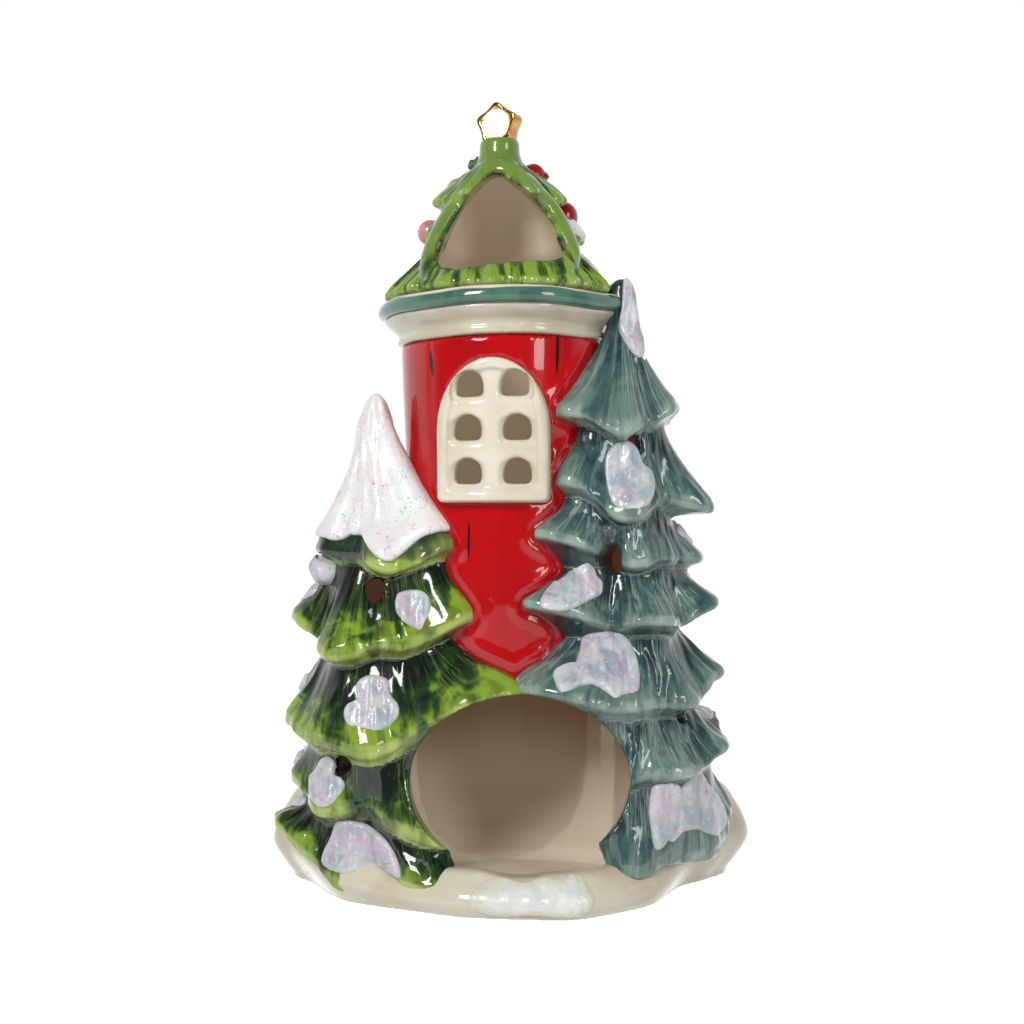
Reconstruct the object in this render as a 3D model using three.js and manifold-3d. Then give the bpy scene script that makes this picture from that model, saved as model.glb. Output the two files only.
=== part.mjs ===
// Christmas candle house: a hollow glazed ceramic tower between two pine trees on a snow bank, for a tealight.
// Each casting and each applied sprig is one mesh. The loading side, with the arch, faces -Y, and Z is up.
// The origin is on the flat underside, in the middle of the snow bank. Sizes are in millimetres and angles
// in degrees, counted anticlockwise from +X, seen from above.
import * as THREE from "three";
import { mergeVertices } from "three/addons/utils/BufferGeometryUtils.js";
import Module from "manifold-3d";

const wasm = await Module();
wasm.setup();

// Castings and the joints between them
const SEAM = 0.3; // width of the slip joint between two castings
const WALL = 4; // thickness of a slip-cast wall
const FAIRING = 0.08; // slivers smaller than this are smoothed away where two castings are cut apart
const TOWER_SEGMENTS = 32;
const TREE_SEGMENTS = 32;
const BANK_SEGMENTS = 42;

// Snow bank that everything stands on
const BANK_HEIGHT = 10; // at the sill in front of the arch
const BANK_CORE_HEIGHT = 11; // under the tower and the trees
const FLOOR_Z = 4; // top of the candle floor
// Drifts banked against the trees' outer sides: where, how far round, how high, and how much hollowed below.
const DRIFTS = [
  { at: 14, spread: 62, rise: 19, undercut: 0.08 },
  { at: 170, spread: 56, rise: 16, undercut: 0.02 },
];
const BANK_OUTLINE = [
  [-67.5, 8], [-61.5, -6], [-52, -23.5], [-40.8, -32.5], [-23.5, -40.6], [-10.5, -46], [12, -48], [23, -44],
  [34, -35.5], [41.5, -26], [50, -11], [60, -1], [67.5, 11], [60, 29], [38, 39], [10, 44], [-20, 42], [-50, 32],
];

// Tower: a waisted tube of boards, with a cove and a rolled eave round its top
const TOWER_X = -3;
const TOWER_FOOT_RADIUS = 28.5;
const TOWER_WAIST_RADIUS = 26.9;
const TOWER_WAIST_Z = 108;
const TOWER_TOP_RADIUS = 28.3;
const TOWER_TOP_Z = 150.4;
const CORNICE_HEIGHT = 6.4;
const CORNICE_REACH = 4.8; // how far the cove flares past the tower wall
const EAVE_HEIGHT = 4.6;
const EAVE_REACH = 6.6; // how far the rolled eave stands past the tower wall
const LEAN = 0.022; // rise of the eave to the right, for each millimetre across
const LEAN_FROM_Z = 100;

// Windows and the front door
const WINDOW_WIDTH = 30.5;
const WINDOW_HEIGHT = 38.6;
const WINDOW_HEAD_GAP = 6.3; // from the rear window's head to the top of the tower wall
const WINDOW_TURN = -95.5; // direction in which the rear window faces
const WINDOW_PROUD = 2.6; // how far a frame stands out of the wall
const WINDOW_BORDER = 4.1;
const WINDOW_MULLION = 4;
const WINDOW_RAIL = 4.4;
const WINDOW_CORNER = 1.6;
const PANE_WIDTH = 7.4; // the pierced hole in each pane
const PANE_HEIGHT = 6.9;
const PANE_RECESS = 1.3; // depth of the panel round each hole
const FRONT_WINDOW_WIDTH = 22;
const FRONT_WINDOW_HEIGHT = 27;
const FRONT_WINDOW_GAP = 20; // from the head of the door to the front window's sill
const FRONT_TURN = 90; // direction in which the front door faces
const DOOR_WIDTH = 19;
const DOOR_HEIGHT = 32;
const DOOR_SILL_Z = 14;
const DOOR_CASING = 3.4;
const DOOR_PROUD = 2.4;
const DOOR_PANEL_PROUD = 1.2;
const KNOB_RADIUS = 1.3;
const KNOB_HEIGHT_SHARE = 0.45; // of the door's height

// Arch for the tealight, and the round-topped chamber behind it
const ARCH_X = 1.6;
const ARCH_WIDTH = 57.6;
const ARCH_HEIGHT = 46;
const ARCH_SILL_Z = 9.6;
const CHAMBER_HALF_WIDTH = 33;
const CHAMBER_HALF_DEPTH = 22;
const CHAMBER_Y = -14;
const CHAMBER_TOP_Z = 62;
const CHAMBER_ROUND = 3; // rounding between the floor and the wall
const BOWL_HEIGHT = 28; // the tower's bore is rounded into the floor over this height

// Roof: three ruffled tiers with a neck for the star
const ROOF_NECK_RADIUS = 5.6;
const ROOF_HEIGHT = 45.3;
const ROOF_TIP_OFFSET = 0.9; // how far the roof's tip stands to the left of the tower's axis
const ROOF_HOLLOW_HEIGHT = 35.2;
const ROOF_HOLLOW_TOP_RADIUS = 4;
const ROOF_EAVE_INSET = 2.6; // step from the rolled eave's edge to the roof's skirt
// The vent is a soft triangle, given from the tower's axis and from the foot of the roof.
const VENT_OUTLINE = [
  [-1.6, 33.9], [-6.6, 30.3], [-12.8, 21.7], [-17.2, 11.5], [-14.6, 6.1],
  [1, 7.1], [15.4, 8.9], [14.6, 16.3], [10.9, 23.5], [3.6, 30.5],
];
const STAR_RADIUS = 5.6;
const STAR_INNER_RADIUS = 4;
const STAR_THICKNESS = 5.4;
const STAR_BEVEL = 0.6;
const STAR_TURN = -25; // the star's face is turned to the left
const STAR_SINK = 0.4; // the star's two feet are let into the neck by this much
const LEAF_LENGTH = 7.6;
const LEAF_HALF_WIDTH = 2.4;
const LEAF_THICKNESS = 1.8;
const LEAF_TILT = 50;
const LEAF_DROP = 6; // below the top of the neck

// Trees
const TREE_FOOT_RADIUS = 12; // the trunk where it is luted to the bank
const TREE_Y = -9; // the trees stand a little towards the loading side
const GREEN_STANDOFF = 6.2; // from the tower's face to the foot of the green tree's axis
const GREEN_TIP_STANDOFF = 6.7;
const GREEN_TIP_Z = 135.2;
const BLUE_STANDOFF = 7.7;
const BLUE_TIP_STANDOFF = 4.5; // the blue tree leans in to the eave
const BLUE_TIP_Z = 166.3;
const GREEN_HOLLOW = { radius: 10.4, topZ: 112 };
const BLUE_HOLLOW = { radius: 10.6, topZ: 146 };
const HOLLOW_TAPER = 0.35; // a trunk's hollow narrows to this share of its radius at the top
// Holes that let light out of the trees: the direction and height at which each is pushed in, and its size.
const GREEN_LIGHT_HOLES = [
  { angle: -88, z: 82, width: 5.2, height: 6.6 },
  { angle: -112, z: 36, width: 5.6, height: 5.4 },
];
const BLUE_LIGHT_HOLES = [
  { angle: -109, z: 90.5, width: 5.5, height: 8 },
  { angle: -82, z: 120, width: 3.4, height: 8 },
  { angle: -40, z: 49, width: 3.4, height: 6.5 },
];
const LIGHT_HOLE_REACH = 45; // far enough to pass the tip of any branch

// Applied snow and fruit
const SNOW_THICKNESS = 1.3;
const SNOW_ROOTS = 1.4; // depth to which a patch is pressed on before its tree is cut from it
const BAUBLE_RADIUS = 4.6;
const GLITTER = { x: 5, y: -41.5, halfWidth: 17, halfDepth: 4.6, thickness: 0.8 }; // drift on the sill

// Heights and radii that follow from the sizes above
const WINDOW_SILL_Z = TOWER_TOP_Z - WINDOW_HEAD_GAP - WINDOW_HEIGHT;
const FRONT_WINDOW_SILL_Z = DOOR_SILL_Z + DOOR_HEIGHT + FRONT_WINDOW_GAP;
const ROOF_FOOT_Z = TOWER_TOP_Z + CORNICE_HEIGHT + EAVE_HEIGHT + 3 * SEAM;
const ROOF_FOOT_RADIUS = TOWER_TOP_RADIUS + EAVE_REACH - ROOF_EAVE_INSET;
const ROOF_TOP_Z = ROOF_FOOT_Z + ROOF_HEIGHT;
const ROOF_HOLLOW_TOP_Z = ROOF_FOOT_Z + ROOF_HOLLOW_HEIGHT;
const OUTSIDE = TOWER_TOP_RADIUS + EAVE_REACH + 10; // clear of the tower's face, for tools pushed through it
const INSIDE = 5;

const GLAZE = {
  cream: { color: 0xd9d3bf, roughness: 0.22 },
  red: { color: 0xb4060f, roughness: 0.12 },
  teal: { color: 0x4f7d6c, roughness: 0.18 },
  roofGreen: { color: 0x5f8f2c, roughness: 0.18 },
  treeGreen: { color: 0x3c6a28, roughness: 0.15 },
  treeBlue: { color: 0x4d6b6e, roughness: 0.2 },
  snow: { color: 0xe9e8ee, roughness: 0.45 },
  gold: { color: 0xd9a441, roughness: 0.15, metalness: 0.9 },
  fruitRed: { color: 0xa81a20, roughness: 0.12 },
  fruitPink: { color: 0xd79a90, roughness: 0.2 },
  fruitPeach: { color: 0xcdb29a, roughness: 0.2 },
  doorBrown: { color: 0x6b3a1e, roughness: 0.2 },
};

// Helpers for geometry

// A closed three.js geometry as a solid. Triangles that collapse when shared vertices merge are left out.
function solidFrom(geometry) {
  const bare = geometry.clone();
  bare.deleteAttribute("normal");
  bare.deleteAttribute("uv");
  const merged = mergeVertices(bare, 1e-4);
  const corners = merged.index.array;
  const triangles = [];
  for (let i = 0; i < corners.length; i += 3) {
    const [a, b, c] = [corners[i], corners[i + 1], corners[i + 2]];
    if (a !== b && b !== c && a !== c) triangles.push(a, b, c);
  }
  const vertProperties = merged.getAttribute("position").array;
  const build = (triVerts) => new wasm.Manifold(new wasm.Mesh({ numProp: 3, vertProperties, triVerts }));
  const made = build(new Uint32Array(triangles));
  return made.volume() > 0 ? made : build(new Uint32Array(triangles.reverse()));
}

function geometryFrom(solid) {
  const mesh = solid.getMesh();
  const position = new Float32Array(mesh.numVert * 3);
  for (let i = 0; i < mesh.numVert; i++)
    for (let k = 0; k < 3; k++) position[i * 3 + k] = mesh.vertProperties[i * mesh.numProp + k];
  return new THREE.BufferGeometry()
    .setAttribute("position", new THREE.BufferAttribute(position, 3))
    .setIndex(new THREE.BufferAttribute(mesh.triVerts, 1));
}

// The solid with every vertex moved out along its normal, for cutting a seam's width away from a neighbour.
function grown(solid, distance = SEAM) {
  const geometry = geometryFrom(solid);
  geometry.computeVertexNormals();
  const position = geometry.getAttribute("position");
  const normal = geometry.getAttribute("normal");
  for (let i = 0; i < position.count; i++)
    position.setXYZ(
      i,
      position.getX(i) + normal.getX(i) * distance,
      position.getY(i) + normal.getY(i) * distance,
      position.getZ(i) + normal.getZ(i) * distance,
    );
  return solidFrom(geometry);
}

// The one casting that a cut leaves, without the crumbs beside it.
function casting(solid) {
  const bodies = solid.decompose();
  return bodies.reduce((best, body) => (body.volume() > best.volume() ? body : best));
}

// Closes a stack of rings, lowest first, each with the same number of points, with a fan over each end.
function stackRings(rings) {
  const count = rings[0].length;
  const middle = (ring) => ring.reduce((sum, p) => sum.add(p), new THREE.Vector3()).divideScalar(count);
  const points = [...rings.flat(), middle(rings[0]), middle(rings.at(-1))];
  const foot = points.length - 2;
  const top = points.length - 1;
  const lastRow = (rings.length - 1) * count;
  const index = [];
  for (let i = 0; i < count; i++) {
    const next = (i + 1) % count;
    for (let row = 0; row < lastRow; row += count)
      index.push(row + i, row + next, row + count + next, row + i, row + count + next, row + count + i);
    index.push(foot, next, i, top, lastRow + i, lastRow + next);
  }
  return new THREE.BufferGeometry().setFromPoints(points).setIndex(index);
}

// A turned solid about a vertical axis at [x, y], from radius and height pairs that start and end on the axis.
function turned(profile, [x, y], segments = TOWER_SEGMENTS) {
  const points = profile.map(([radius, z]) => new THREE.Vector2(radius, z));
  const lathe = new THREE.LatheGeometry(points, segments).rotateX(Math.PI / 2);
  return solidFrom(lathe.translate(x, y, 0));
}

// A shape drawn in X and Z, pushed through the wall that faces `facing`, from near to far off the tower's axis.
function pushedThroughWall(shape, facing, { near = INSIDE, far = OUTSIDE, curveSegments = 8 } = {}) {
  const bar = new THREE.ExtrudeGeometry(shape, { depth: far - near, bevelEnabled: false, curveSegments });
  bar.rotateX(Math.PI / 2).translate(0, -near, 0);
  bar.rotateZ(THREE.MathUtils.degToRad(facing + 90)).translate(TOWER_X, 0, 0);
  return solidFrom(bar);
}

// An opening centred on x, with straight sides, round lower corners and a half-elliptic head, above a sill.
function archShape(width, height, sill, { x = 0, headShare = 0.5, corner = WINDOW_CORNER } = {}) {
  const [left, right] = [x - width / 2, x + width / 2];
  const spring = sill + height * (1 - headShare);
  const shape = new THREE.Shape();
  shape.moveTo(left + corner, sill);
  shape.lineTo(right - corner, sill);
  shape.quadraticCurveTo(right, sill, right, sill + corner);
  shape.lineTo(right, spring);
  shape.absellipse(x, spring, width / 2, height * headShare, 0, Math.PI, false);
  shape.lineTo(left, sill + corner);
  shape.quadraticCurveTo(left, sill, left + corner, sill);
  return shape;
}

// Tiered forms: the two trees and the roof

// How strongly a branch shows at an angle: 1 along the branch, falling to 0 at its spread on either side.
function branchWeight(angle, branch) {
  const away = Math.abs(THREE.MathUtils.euclideanModulo(angle - branch.at + 180, 360) - 180) / branch.spread;
  return away < 1 ? Math.cos((Math.PI / 2) * away) ** 1.3 : 0;
}

// Shares of the way down the top skirt at which it is cut into rings; the skirts below are short.
const TOP_SHARES = [0.4, 0.75, 1];

// A tiered form is a stack of skirts. Each skirt flares from a neck to an edge, where its branches reach out
// and droop, then rolls over a lip and tucks back in to the neck of the next.
class TieredForm {
  constructor({ foot, apex, topRings, tiers, flare = 1.25, lip = 1.7, segments = TREE_SEGMENTS }) {
    Object.assign(this, { foot, apex, topRings, tiers, flare, lip, segments });
  }

  // A point at a radius and height from the leaning axis.
  at(radius, z, angle) {
    const share = z / this.apex[2];
    const turn = THREE.MathUtils.degToRad(angle);
    return new THREE.Vector3(
      THREE.MathUtils.lerp(this.foot[0], this.apex[0], share) + radius * Math.cos(turn),
      THREE.MathUtils.lerp(this.foot[1], this.apex[1], share) + radius * Math.sin(turn),
      z,
    );
  }

  // The edge at an angle: how far it reaches and droops, the neck tucked in below it, and how its skirt flares.
  edge(tier, angle) {
    const plain = { flare: this.flare, ...tier };
    delete plain.branches;
    const edge = { ...plain };
    for (const branch of tier.branches)
      for (const key of Object.keys(plain))
        edge[key] += ((branch[key] ?? plain[key]) - plain[key]) * branchWeight(angle, branch);
    return edge;
  }

  neck(number, angle) {
    if (number === 0) return this.topRings.at(-1);
    const above = this.tiers[number - 1];
    const edge = this.edge(above, angle);
    return { radius: edge.neck, z: THREE.MathUtils.lerp(above.z, edge.z, 0.75) - edge.tuck };
  }

  // A point on the upper face of a skirt: share 0 is its neck and share 1 is its edge.
  point(number, share, angle) {
    const neck = this.neck(number, angle);
    const edge = this.edge(this.tiers[number], angle);
    const radius = THREE.MathUtils.lerp(neck.radius, edge.radius, Math.max(0, share) ** edge.flare);
    return this.at(radius, THREE.MathUtils.lerp(neck.z, edge.z, share), angle);
  }

  // The direction that points out of the upper face.
  normal(number, share, angle) {
    const [ahead, aside] = [0.02, 1];
    const down = this.point(number, share + ahead, angle).sub(this.point(number, share - ahead, angle));
    const round = this.point(number, share, angle + aside).sub(this.point(number, share, angle - aside));
    return down.cross(round).normalize();
  }

  ring(pointAt) {
    return Array.from({ length: this.segments }, (_, i) => pointAt((360 * i) / this.segments));
  }

  // The whole form as one solid, tucked in under its last skirt to a foot at z = footZ.
  solid(footZ, footRadius) {
    const rings = this.topRings.map(({ radius, z }) => this.ring((angle) => this.at(radius, z, angle)));
    this.tiers.forEach((tier, number) => {
      for (const share of number === 0 ? TOP_SHARES : [0, 0.55, 1])
        rings.push(this.ring((angle) => this.point(number, share, angle)));
      rings.push(
        this.ring((angle) => {
          const edge = this.edge(tier, angle);
          return this.at(edge.radius - 0.35 * this.lip, edge.z - this.lip, angle);
        }),
      );
    });
    rings.push(this.ring((angle) => this.at(footRadius, footZ, angle)));
    return solidFrom(stackRings(rings.reverse()));
  }

  // A hat of snow over the tip and the top skirt, down to a wavy hem, as a solid with the tree still inside it.
  snowHat(proud, hemOf) {
    const on = (share, height) =>
      this.ring((angle) => {
        const here = [0, share < 1 ? share : hemOf(angle), angle];
        return this.point(...here).addScaledVector(this.normal(...here), height);
      });
    const rings = [on(1, -SNOW_ROOTS), on(1, 0.5 * proud)];
    for (const share of [...TOP_SHARES].reverse().slice(1)) rings.push(on(share, proud));
    for (const { radius, z } of [...this.topRings].reverse())
      rings.push(this.ring((angle) => this.at(radius + 0.6 * proud, z + 0.9 * proud, angle)));
    return solidFrom(stackRings(rings));
  }
}

const greenTree = new TieredForm({
  foot: [TOWER_X - TOWER_TOP_RADIUS - GREEN_STANDOFF, TREE_Y],
  apex: [TOWER_X - TOWER_TOP_RADIUS - GREEN_TIP_STANDOFF, TREE_Y + 1, GREEN_TIP_Z],
  flare: 1.2,
  topRings: [
    { radius: 1, z: GREEN_TIP_Z },
    { radius: 2, z: GREEN_TIP_Z - 1.6 },
  ],
  tiers: [
    {
      radius: 13, z: 93, neck: 11.5, tuck: 4.6, flare: 2,
      branches: [
        { at: 186, radius: 16.8, z: 94, spread: 38 },
        { at: -74, radius: 18.7, z: 88.8, spread: 34 },
        { at: -36, radius: 27.2, z: 94.8, spread: 34, neck: 24, flare: 1.7 },
        { at: 30, radius: 18, z: 94, spread: 36 },
        { at: 105, radius: 17.5, z: 92, spread: 36 },
      ],
    },
    {
      radius: 16.5, z: 70, neck: 13.6, tuck: 5,
      branches: [
        { at: 172, radius: 24, z: 75, spread: 33 },
        { at: -116, radius: 23.4, z: 65.8, spread: 38, neck: 17 },
        { at: -64, radius: 22, z: 68.4, spread: 28, neck: 18 },
        { at: -34, radius: 32.5, z: 76, spread: 30, neck: 26 },
        { at: 45, radius: 22, z: 73, spread: 34 },
        { at: 108, radius: 22.5, z: 72, spread: 34 },
      ],
    },
    {
      radius: 20, z: 45, neck: 18.5, tuck: 5.5,
      branches: [
        { at: 184, radius: 25.2, z: 47, spread: 36 },
        { at: -136, radius: 23, z: 43, spread: 28 },
        { at: -92, radius: 25, z: 40.5, spread: 36, neck: 22 },
        { at: -27, radius: 47.5, z: 56.5, spread: 50, neck: 44, flare: 1 },
        { at: 50, radius: 24, z: 47, spread: 36 },
        { at: 120, radius: 24, z: 46, spread: 36 },
      ],
    },
    {
      radius: 19.5, z: 27, neck: 18.5, tuck: 5,
      branches: [
        { at: 180, radius: 23.6, z: 31, spread: 34 },
        { at: -124, radius: 24, z: 24.5, spread: 32 },
        { at: -50, radius: 34, z: 18, spread: 42, neck: 32 },
        { at: 60, radius: 23, z: 30, spread: 36 },
        { at: 125, radius: 24, z: 30, spread: 34 },
      ],
    },
    {
      radius: 21, z: 9.5, neck: 19, tuck: 4,
      branches: [
        { at: 182, radius: 28.6, z: 19.6, spread: 32 },
        { at: -148, radius: 22.5, z: 12, spread: 26 },
        { at: -108, radius: 22, z: 5, spread: 30 },
        { at: -55, radius: 36.5, z: 5.6, spread: 30, neck: 30 },
        { at: 60, radius: 25, z: 12, spread: 36 },
        { at: 125, radius: 27, z: 16, spread: 36 },
      ],
    },
  ],
});

const blueTree = new TieredForm({
  foot: [TOWER_X + TOWER_TOP_RADIUS + BLUE_STANDOFF, TREE_Y],
  apex: [TOWER_X + TOWER_TOP_RADIUS + BLUE_TIP_STANDOFF, TREE_Y, BLUE_TIP_Z],
  flare: 1.5,
  topRings: [
    { radius: 1.8, z: BLUE_TIP_Z },
    { radius: 3.3, z: BLUE_TIP_Z - 1.5 },
    { radius: 3.8, z: BLUE_TIP_Z - 6.3 },
  ],
  tiers: [
    {
      radius: 12.5, z: 128, neck: 11, tuck: 4, flare: 2,
      branches: [
        { at: -140, radius: 24.6, z: 130.4, spread: 40, neck: 16, flare: 1.7 },
        { at: -96, radius: 17, z: 125, spread: 30 },
        { at: -16, radius: 15.4, z: 131.8, spread: 38, flare: 2.6 },
        { at: 45, radius: 16.5, z: 130, spread: 36 },
        { at: 115, radius: 17, z: 128, spread: 36 },
      ],
    },
    {
      radius: 14.5, z: 108, neck: 12.2, tuck: 4,
      branches: [
        { at: -141, radius: 24.6, z: 112, spread: 34, neck: 21 },
        { at: -92, radius: 20.2, z: 102.5, spread: 36, neck: 16 },
        { at: -12, radius: 24.4, z: 105, spread: 34 },
        { at: 50, radius: 20.5, z: 107, spread: 34 },
        { at: 118, radius: 20, z: 108, spread: 34 },
      ],
    },
    {
      radius: 15.5, z: 92, neck: 14, tuck: 4,
      branches: [
        { at: -143, radius: 31, z: 98, spread: 36, neck: 22, tuck: 8 },
        { at: -86, radius: 18, z: 90, spread: 30 },
        { at: 14, radius: 22, z: 91, spread: 40, neck: 17 },
        { at: 90, radius: 21, z: 92, spread: 36 },
      ],
    },
    {
      radius: 18, z: 74, neck: 15, tuck: 4.6,
      branches: [
        { at: -145, radius: 35, z: 79.6, spread: 38, neck: 22, tuck: 8.5 },
        { at: -76, radius: 25.4, z: 75.5, spread: 34, neck: 19 },
        { at: -8, radius: 25.2, z: 79.2, spread: 34, neck: 13 },
        { at: 48, radius: 24, z: 74, spread: 34 },
        { at: 112, radius: 24, z: 74, spread: 34 },
      ],
    },
    {
      radius: 20, z: 54, neck: 17.4, tuck: 5,
      branches: [
        { at: -142, radius: 39, z: 57.4, spread: 44, neck: 35, flare: 1.1 },
        { at: -98, radius: 28, z: 53, spread: 30, neck: 24 },
        { at: -52, radius: 24.4, z: 53, spread: 30 },
        { at: -8, radius: 26.2, z: 60.3, spread: 30, neck: 16 },
        { at: 100, radius: 25, z: 54, spread: 36 },
      ],
    },
    {
      radius: 22, z: 35, neck: 20, tuck: 4.6,
      branches: [
        { at: -14, radius: 27.4, z: 40.4, spread: 32, neck: 22 },
        { at: 24, radius: 27.2, z: 46.5, spread: 24 },
        { at: -68, radius: 27, z: 35.5, spread: 36, neck: 23 },
        { at: -125, radius: 33, z: 30, spread: 40, neck: 29 },
        { at: 65, radius: 25, z: 36, spread: 36 },
        { at: 120, radius: 25, z: 36, spread: 34 },
      ],
    },
    {
      radius: 20, z: 9.5, neck: 17, tuck: 4,
      branches: [
        { at: 12, radius: 28.8, z: 20, spread: 30, flare: 1 },
        { at: -22, radius: 24.5, z: 12, spread: 24, flare: 1 },
        { at: -58, radius: 20.5, z: 12, spread: 30, flare: 1 },
        { at: -96, radius: 26.5, z: 9.5, spread: 26, neck: 22 },
        { at: 60, radius: 25, z: 18, spread: 34 },
        { at: 118, radius: 25, z: 14, spread: 34 },
      ],
    },
  ],
});

// The roof's ruffles are spaced evenly, and its two upper tiers reach out furthest to the left and right.
const ruffles = (count, radius, z, spread, first = 0) =>
  Array.from({ length: count }, (_, i) => ({ at: first + (360 * i) / count, radius, z, spread }));

const roofForm = new TieredForm({
  foot: [TOWER_X, 0],
  apex: [TOWER_X - ROOF_TIP_OFFSET, 0, ROOF_TOP_Z],
  flare: 1.1,
  lip: 1.3,
  topRings: [
    { radius: ROOF_NECK_RADIUS - 0.5, z: ROOF_TOP_Z },
    { radius: ROOF_NECK_RADIUS, z: ROOF_TOP_Z - 1.2 },
    { radius: ROOF_NECK_RADIUS, z: ROOF_TOP_Z - 5.4 },
  ],
  tiers: [
    {
      radius: ROOF_FOOT_RADIUS - 16.7, z: ROOF_FOOT_Z + 27.7, neck: ROOF_FOOT_RADIUS - 15.9, tuck: 3,
      branches: ruffles(6, ROOF_FOOT_RADIUS - 13.7, ROOF_FOOT_Z + 28.5, 30),
    },
    {
      radius: ROOF_FOOT_RADIUS - 11.7, z: ROOF_FOOT_Z + 16.7, neck: ROOF_FOOT_RADIUS - 12.1, tuck: 2.4,
      branches: [
        ...ruffles(7, ROOF_FOOT_RADIUS - 8.9, ROOF_FOOT_Z + 16.7, 22, -6),
        {
          at: 185, radius: ROOF_FOOT_RADIUS - 13.7, z: ROOF_FOOT_Z + 18.2, spread: 40,
          neck: ROOF_FOOT_RADIUS - 13.7,
        },
      ],
    },
    {
      radius: ROOF_FOOT_RADIUS - 1.6,
      z: ROOF_FOOT_Z + 2.4,
      neck: ROOF_FOOT_RADIUS - 2.4,
      tuck: 1,
      branches: ruffles(14, ROOF_FOOT_RADIUS, ROOF_FOOT_Z + 1.9, 13, 6),
    },
  ],
});

// Solids before they are cut from each other

function snowBank() {
  const outline = new THREE.CatmullRomCurve3(
    BANK_OUTLINE.map(([x, y]) => new THREE.Vector3(x, y, 0)),
    true,
  ).getSpacedPoints(BANK_SEGMENTS).slice(0, -1);
  const angleOf = (p) => THREE.MathUtils.radToDeg(Math.atan2(p.y, p.x));
  const drifted = (p, key) => DRIFTS.reduce((sum, drift) => sum + drift[key] * branchWeight(angleOf(p), drift), 0);
  const heightAt = (p) => BANK_HEIGHT + drifted(p, "rise");
  const undercutAt = (p) => drifted(p, "undercut");
  const ring = (share, heightShare, { core = 0, hollow = 0 } = {}) =>
    outline.map((p) => {
      const undercut = undercutAt(p);
      const height = (heightShare + (share > 0.9 ? 3 * undercut : 0)) * heightAt(p);
      const reach = share - hollow * undercut;
      return new THREE.Vector3(p.x * reach, p.y * reach, THREE.MathUtils.lerp(height, BANK_CORE_HEIGHT, core));
    });
  const foot = ring(0.975, 0, { hollow: 0.9 });
  foot.forEach((p) => p.setZ(0));
  const rings = [
    foot, ring(0.99, 0.1, { hollow: 1 }), ring(1, 0.34), ring(0.985, 0.56), ring(0.94, 0.78), ring(0.86, 1),
    ring(0.7, 1, { core: 0.6 }), ring(0.5, 1, { core: 1 }),
  ];
  return solidFrom(stackRings(rings));
}

const towerProfile = (inset) =>
  new THREE.SplineCurve(
    [
      [TOWER_FOOT_RADIUS, 0],
      [(TOWER_FOOT_RADIUS + TOWER_WAIST_RADIUS) / 2, TOWER_WAIST_Z / 2],
      [TOWER_WAIST_RADIUS, TOWER_WAIST_Z],
      [TOWER_TOP_RADIUS, TOWER_TOP_Z],
    ].map(([radius, z]) => new THREE.Vector2(radius - inset, z)),
  ).getPoints(3).map((p) => [p.x, p.y]);

const towerOuter = turned([[0, 0], ...towerProfile(0), [0, TOWER_TOP_Z]], [TOWER_X, 0]);

// The tower's bore starts as a bowl, runs up through the cove and the eave and opens into the roof, where it
// narrows from neck to neck.
function flue() {
  const mouth = TOWER_TOP_RADIUS - WALL;
  const bowlRadius = TOWER_FOOT_RADIUS - WALL;
  const bowl = [[0.25, 0], [0.6, 0.12], [0.82, 0.34], [0.95, 0.66], [1, 1]].map(([radius, rise]) => [
    radius * bowlRadius,
    FLOOR_Z + rise * BOWL_HEIGHT,
  ]);
  const roofNecks = roofForm.tiers.slice(0, -1).reverse().map(({ neck, z, tuck }) => [neck - WALL, z - tuck]);
  return turned(
    [
      [0, FLOOR_Z],
      ...bowl,
      ...towerProfile(WALL).filter(([, z]) => z > FLOOR_Z + BOWL_HEIGHT),
      [mouth, ROOF_FOOT_Z - SEAM / 2],
      [ROOF_FOOT_RADIUS - WALL, ROOF_FOOT_Z - SEAM / 2],
      [ROOF_FOOT_RADIUS - WALL - 1, ROOF_FOOT_Z + 4],
      ...roofNecks,
      [ROOF_HOLLOW_TOP_RADIUS, ROOF_HOLLOW_TOP_Z],
      [0, ROOF_HOLLOW_TOP_Z],
    ],
    [TOWER_X, 0],
  );
}

// The chamber behind the arch: a flat floor with a rounded edge, upright walls, then a dome.
function chamber() {
  const half = (CHAMBER_TOP_Z - FLOOR_Z) / 2;
  const dome = new THREE.EllipseCurve(0, FLOOR_Z + half, 1, half, 0, Math.PI / 2).getPoints(5);
  const rim = [[0, FLOOR_Z], [0.9, FLOOR_Z], [1, FLOOR_Z + CHAMBER_ROUND]];
  const points = rim.map(([radius, z]) => new THREE.Vector2(radius, z));
  points.push(...dome.slice(0, -1), new THREE.Vector2(0, CHAMBER_TOP_Z));
  const lathe = new THREE.LatheGeometry(points, TOWER_SEGMENTS).rotateX(Math.PI / 2);
  return solidFrom(lathe.scale(CHAMBER_HALF_WIDTH, CHAMBER_HALF_DEPTH, 1).translate(ARCH_X, CHAMBER_Y, 0));
}

// A tree is cast hollow round its trunk, so that candlelight reaches the holes pierced in it.
function trunkHollow(form, { radius, topZ }) {
  return turned([[0, FLOOR_Z], [radius, FLOOR_Z], [radius * HOLLOW_TAPER, topZ], [0, topZ]], form.foot, 20);
}

function candleArch() {
  const ellipse = new THREE.Shape();
  const [halfWidth, halfHeight] = [ARCH_WIDTH / 2, ARCH_HEIGHT / 2];
  ellipse.absellipse(ARCH_X - TOWER_X, ARCH_SILL_Z + halfHeight, halfWidth, halfHeight, 0, 2 * Math.PI);
  return pushedThroughWall(ellipse, -90, { near: -CHAMBER_Y, far: 2 * OUTSIDE, curveSegments: 18 });
}

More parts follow.
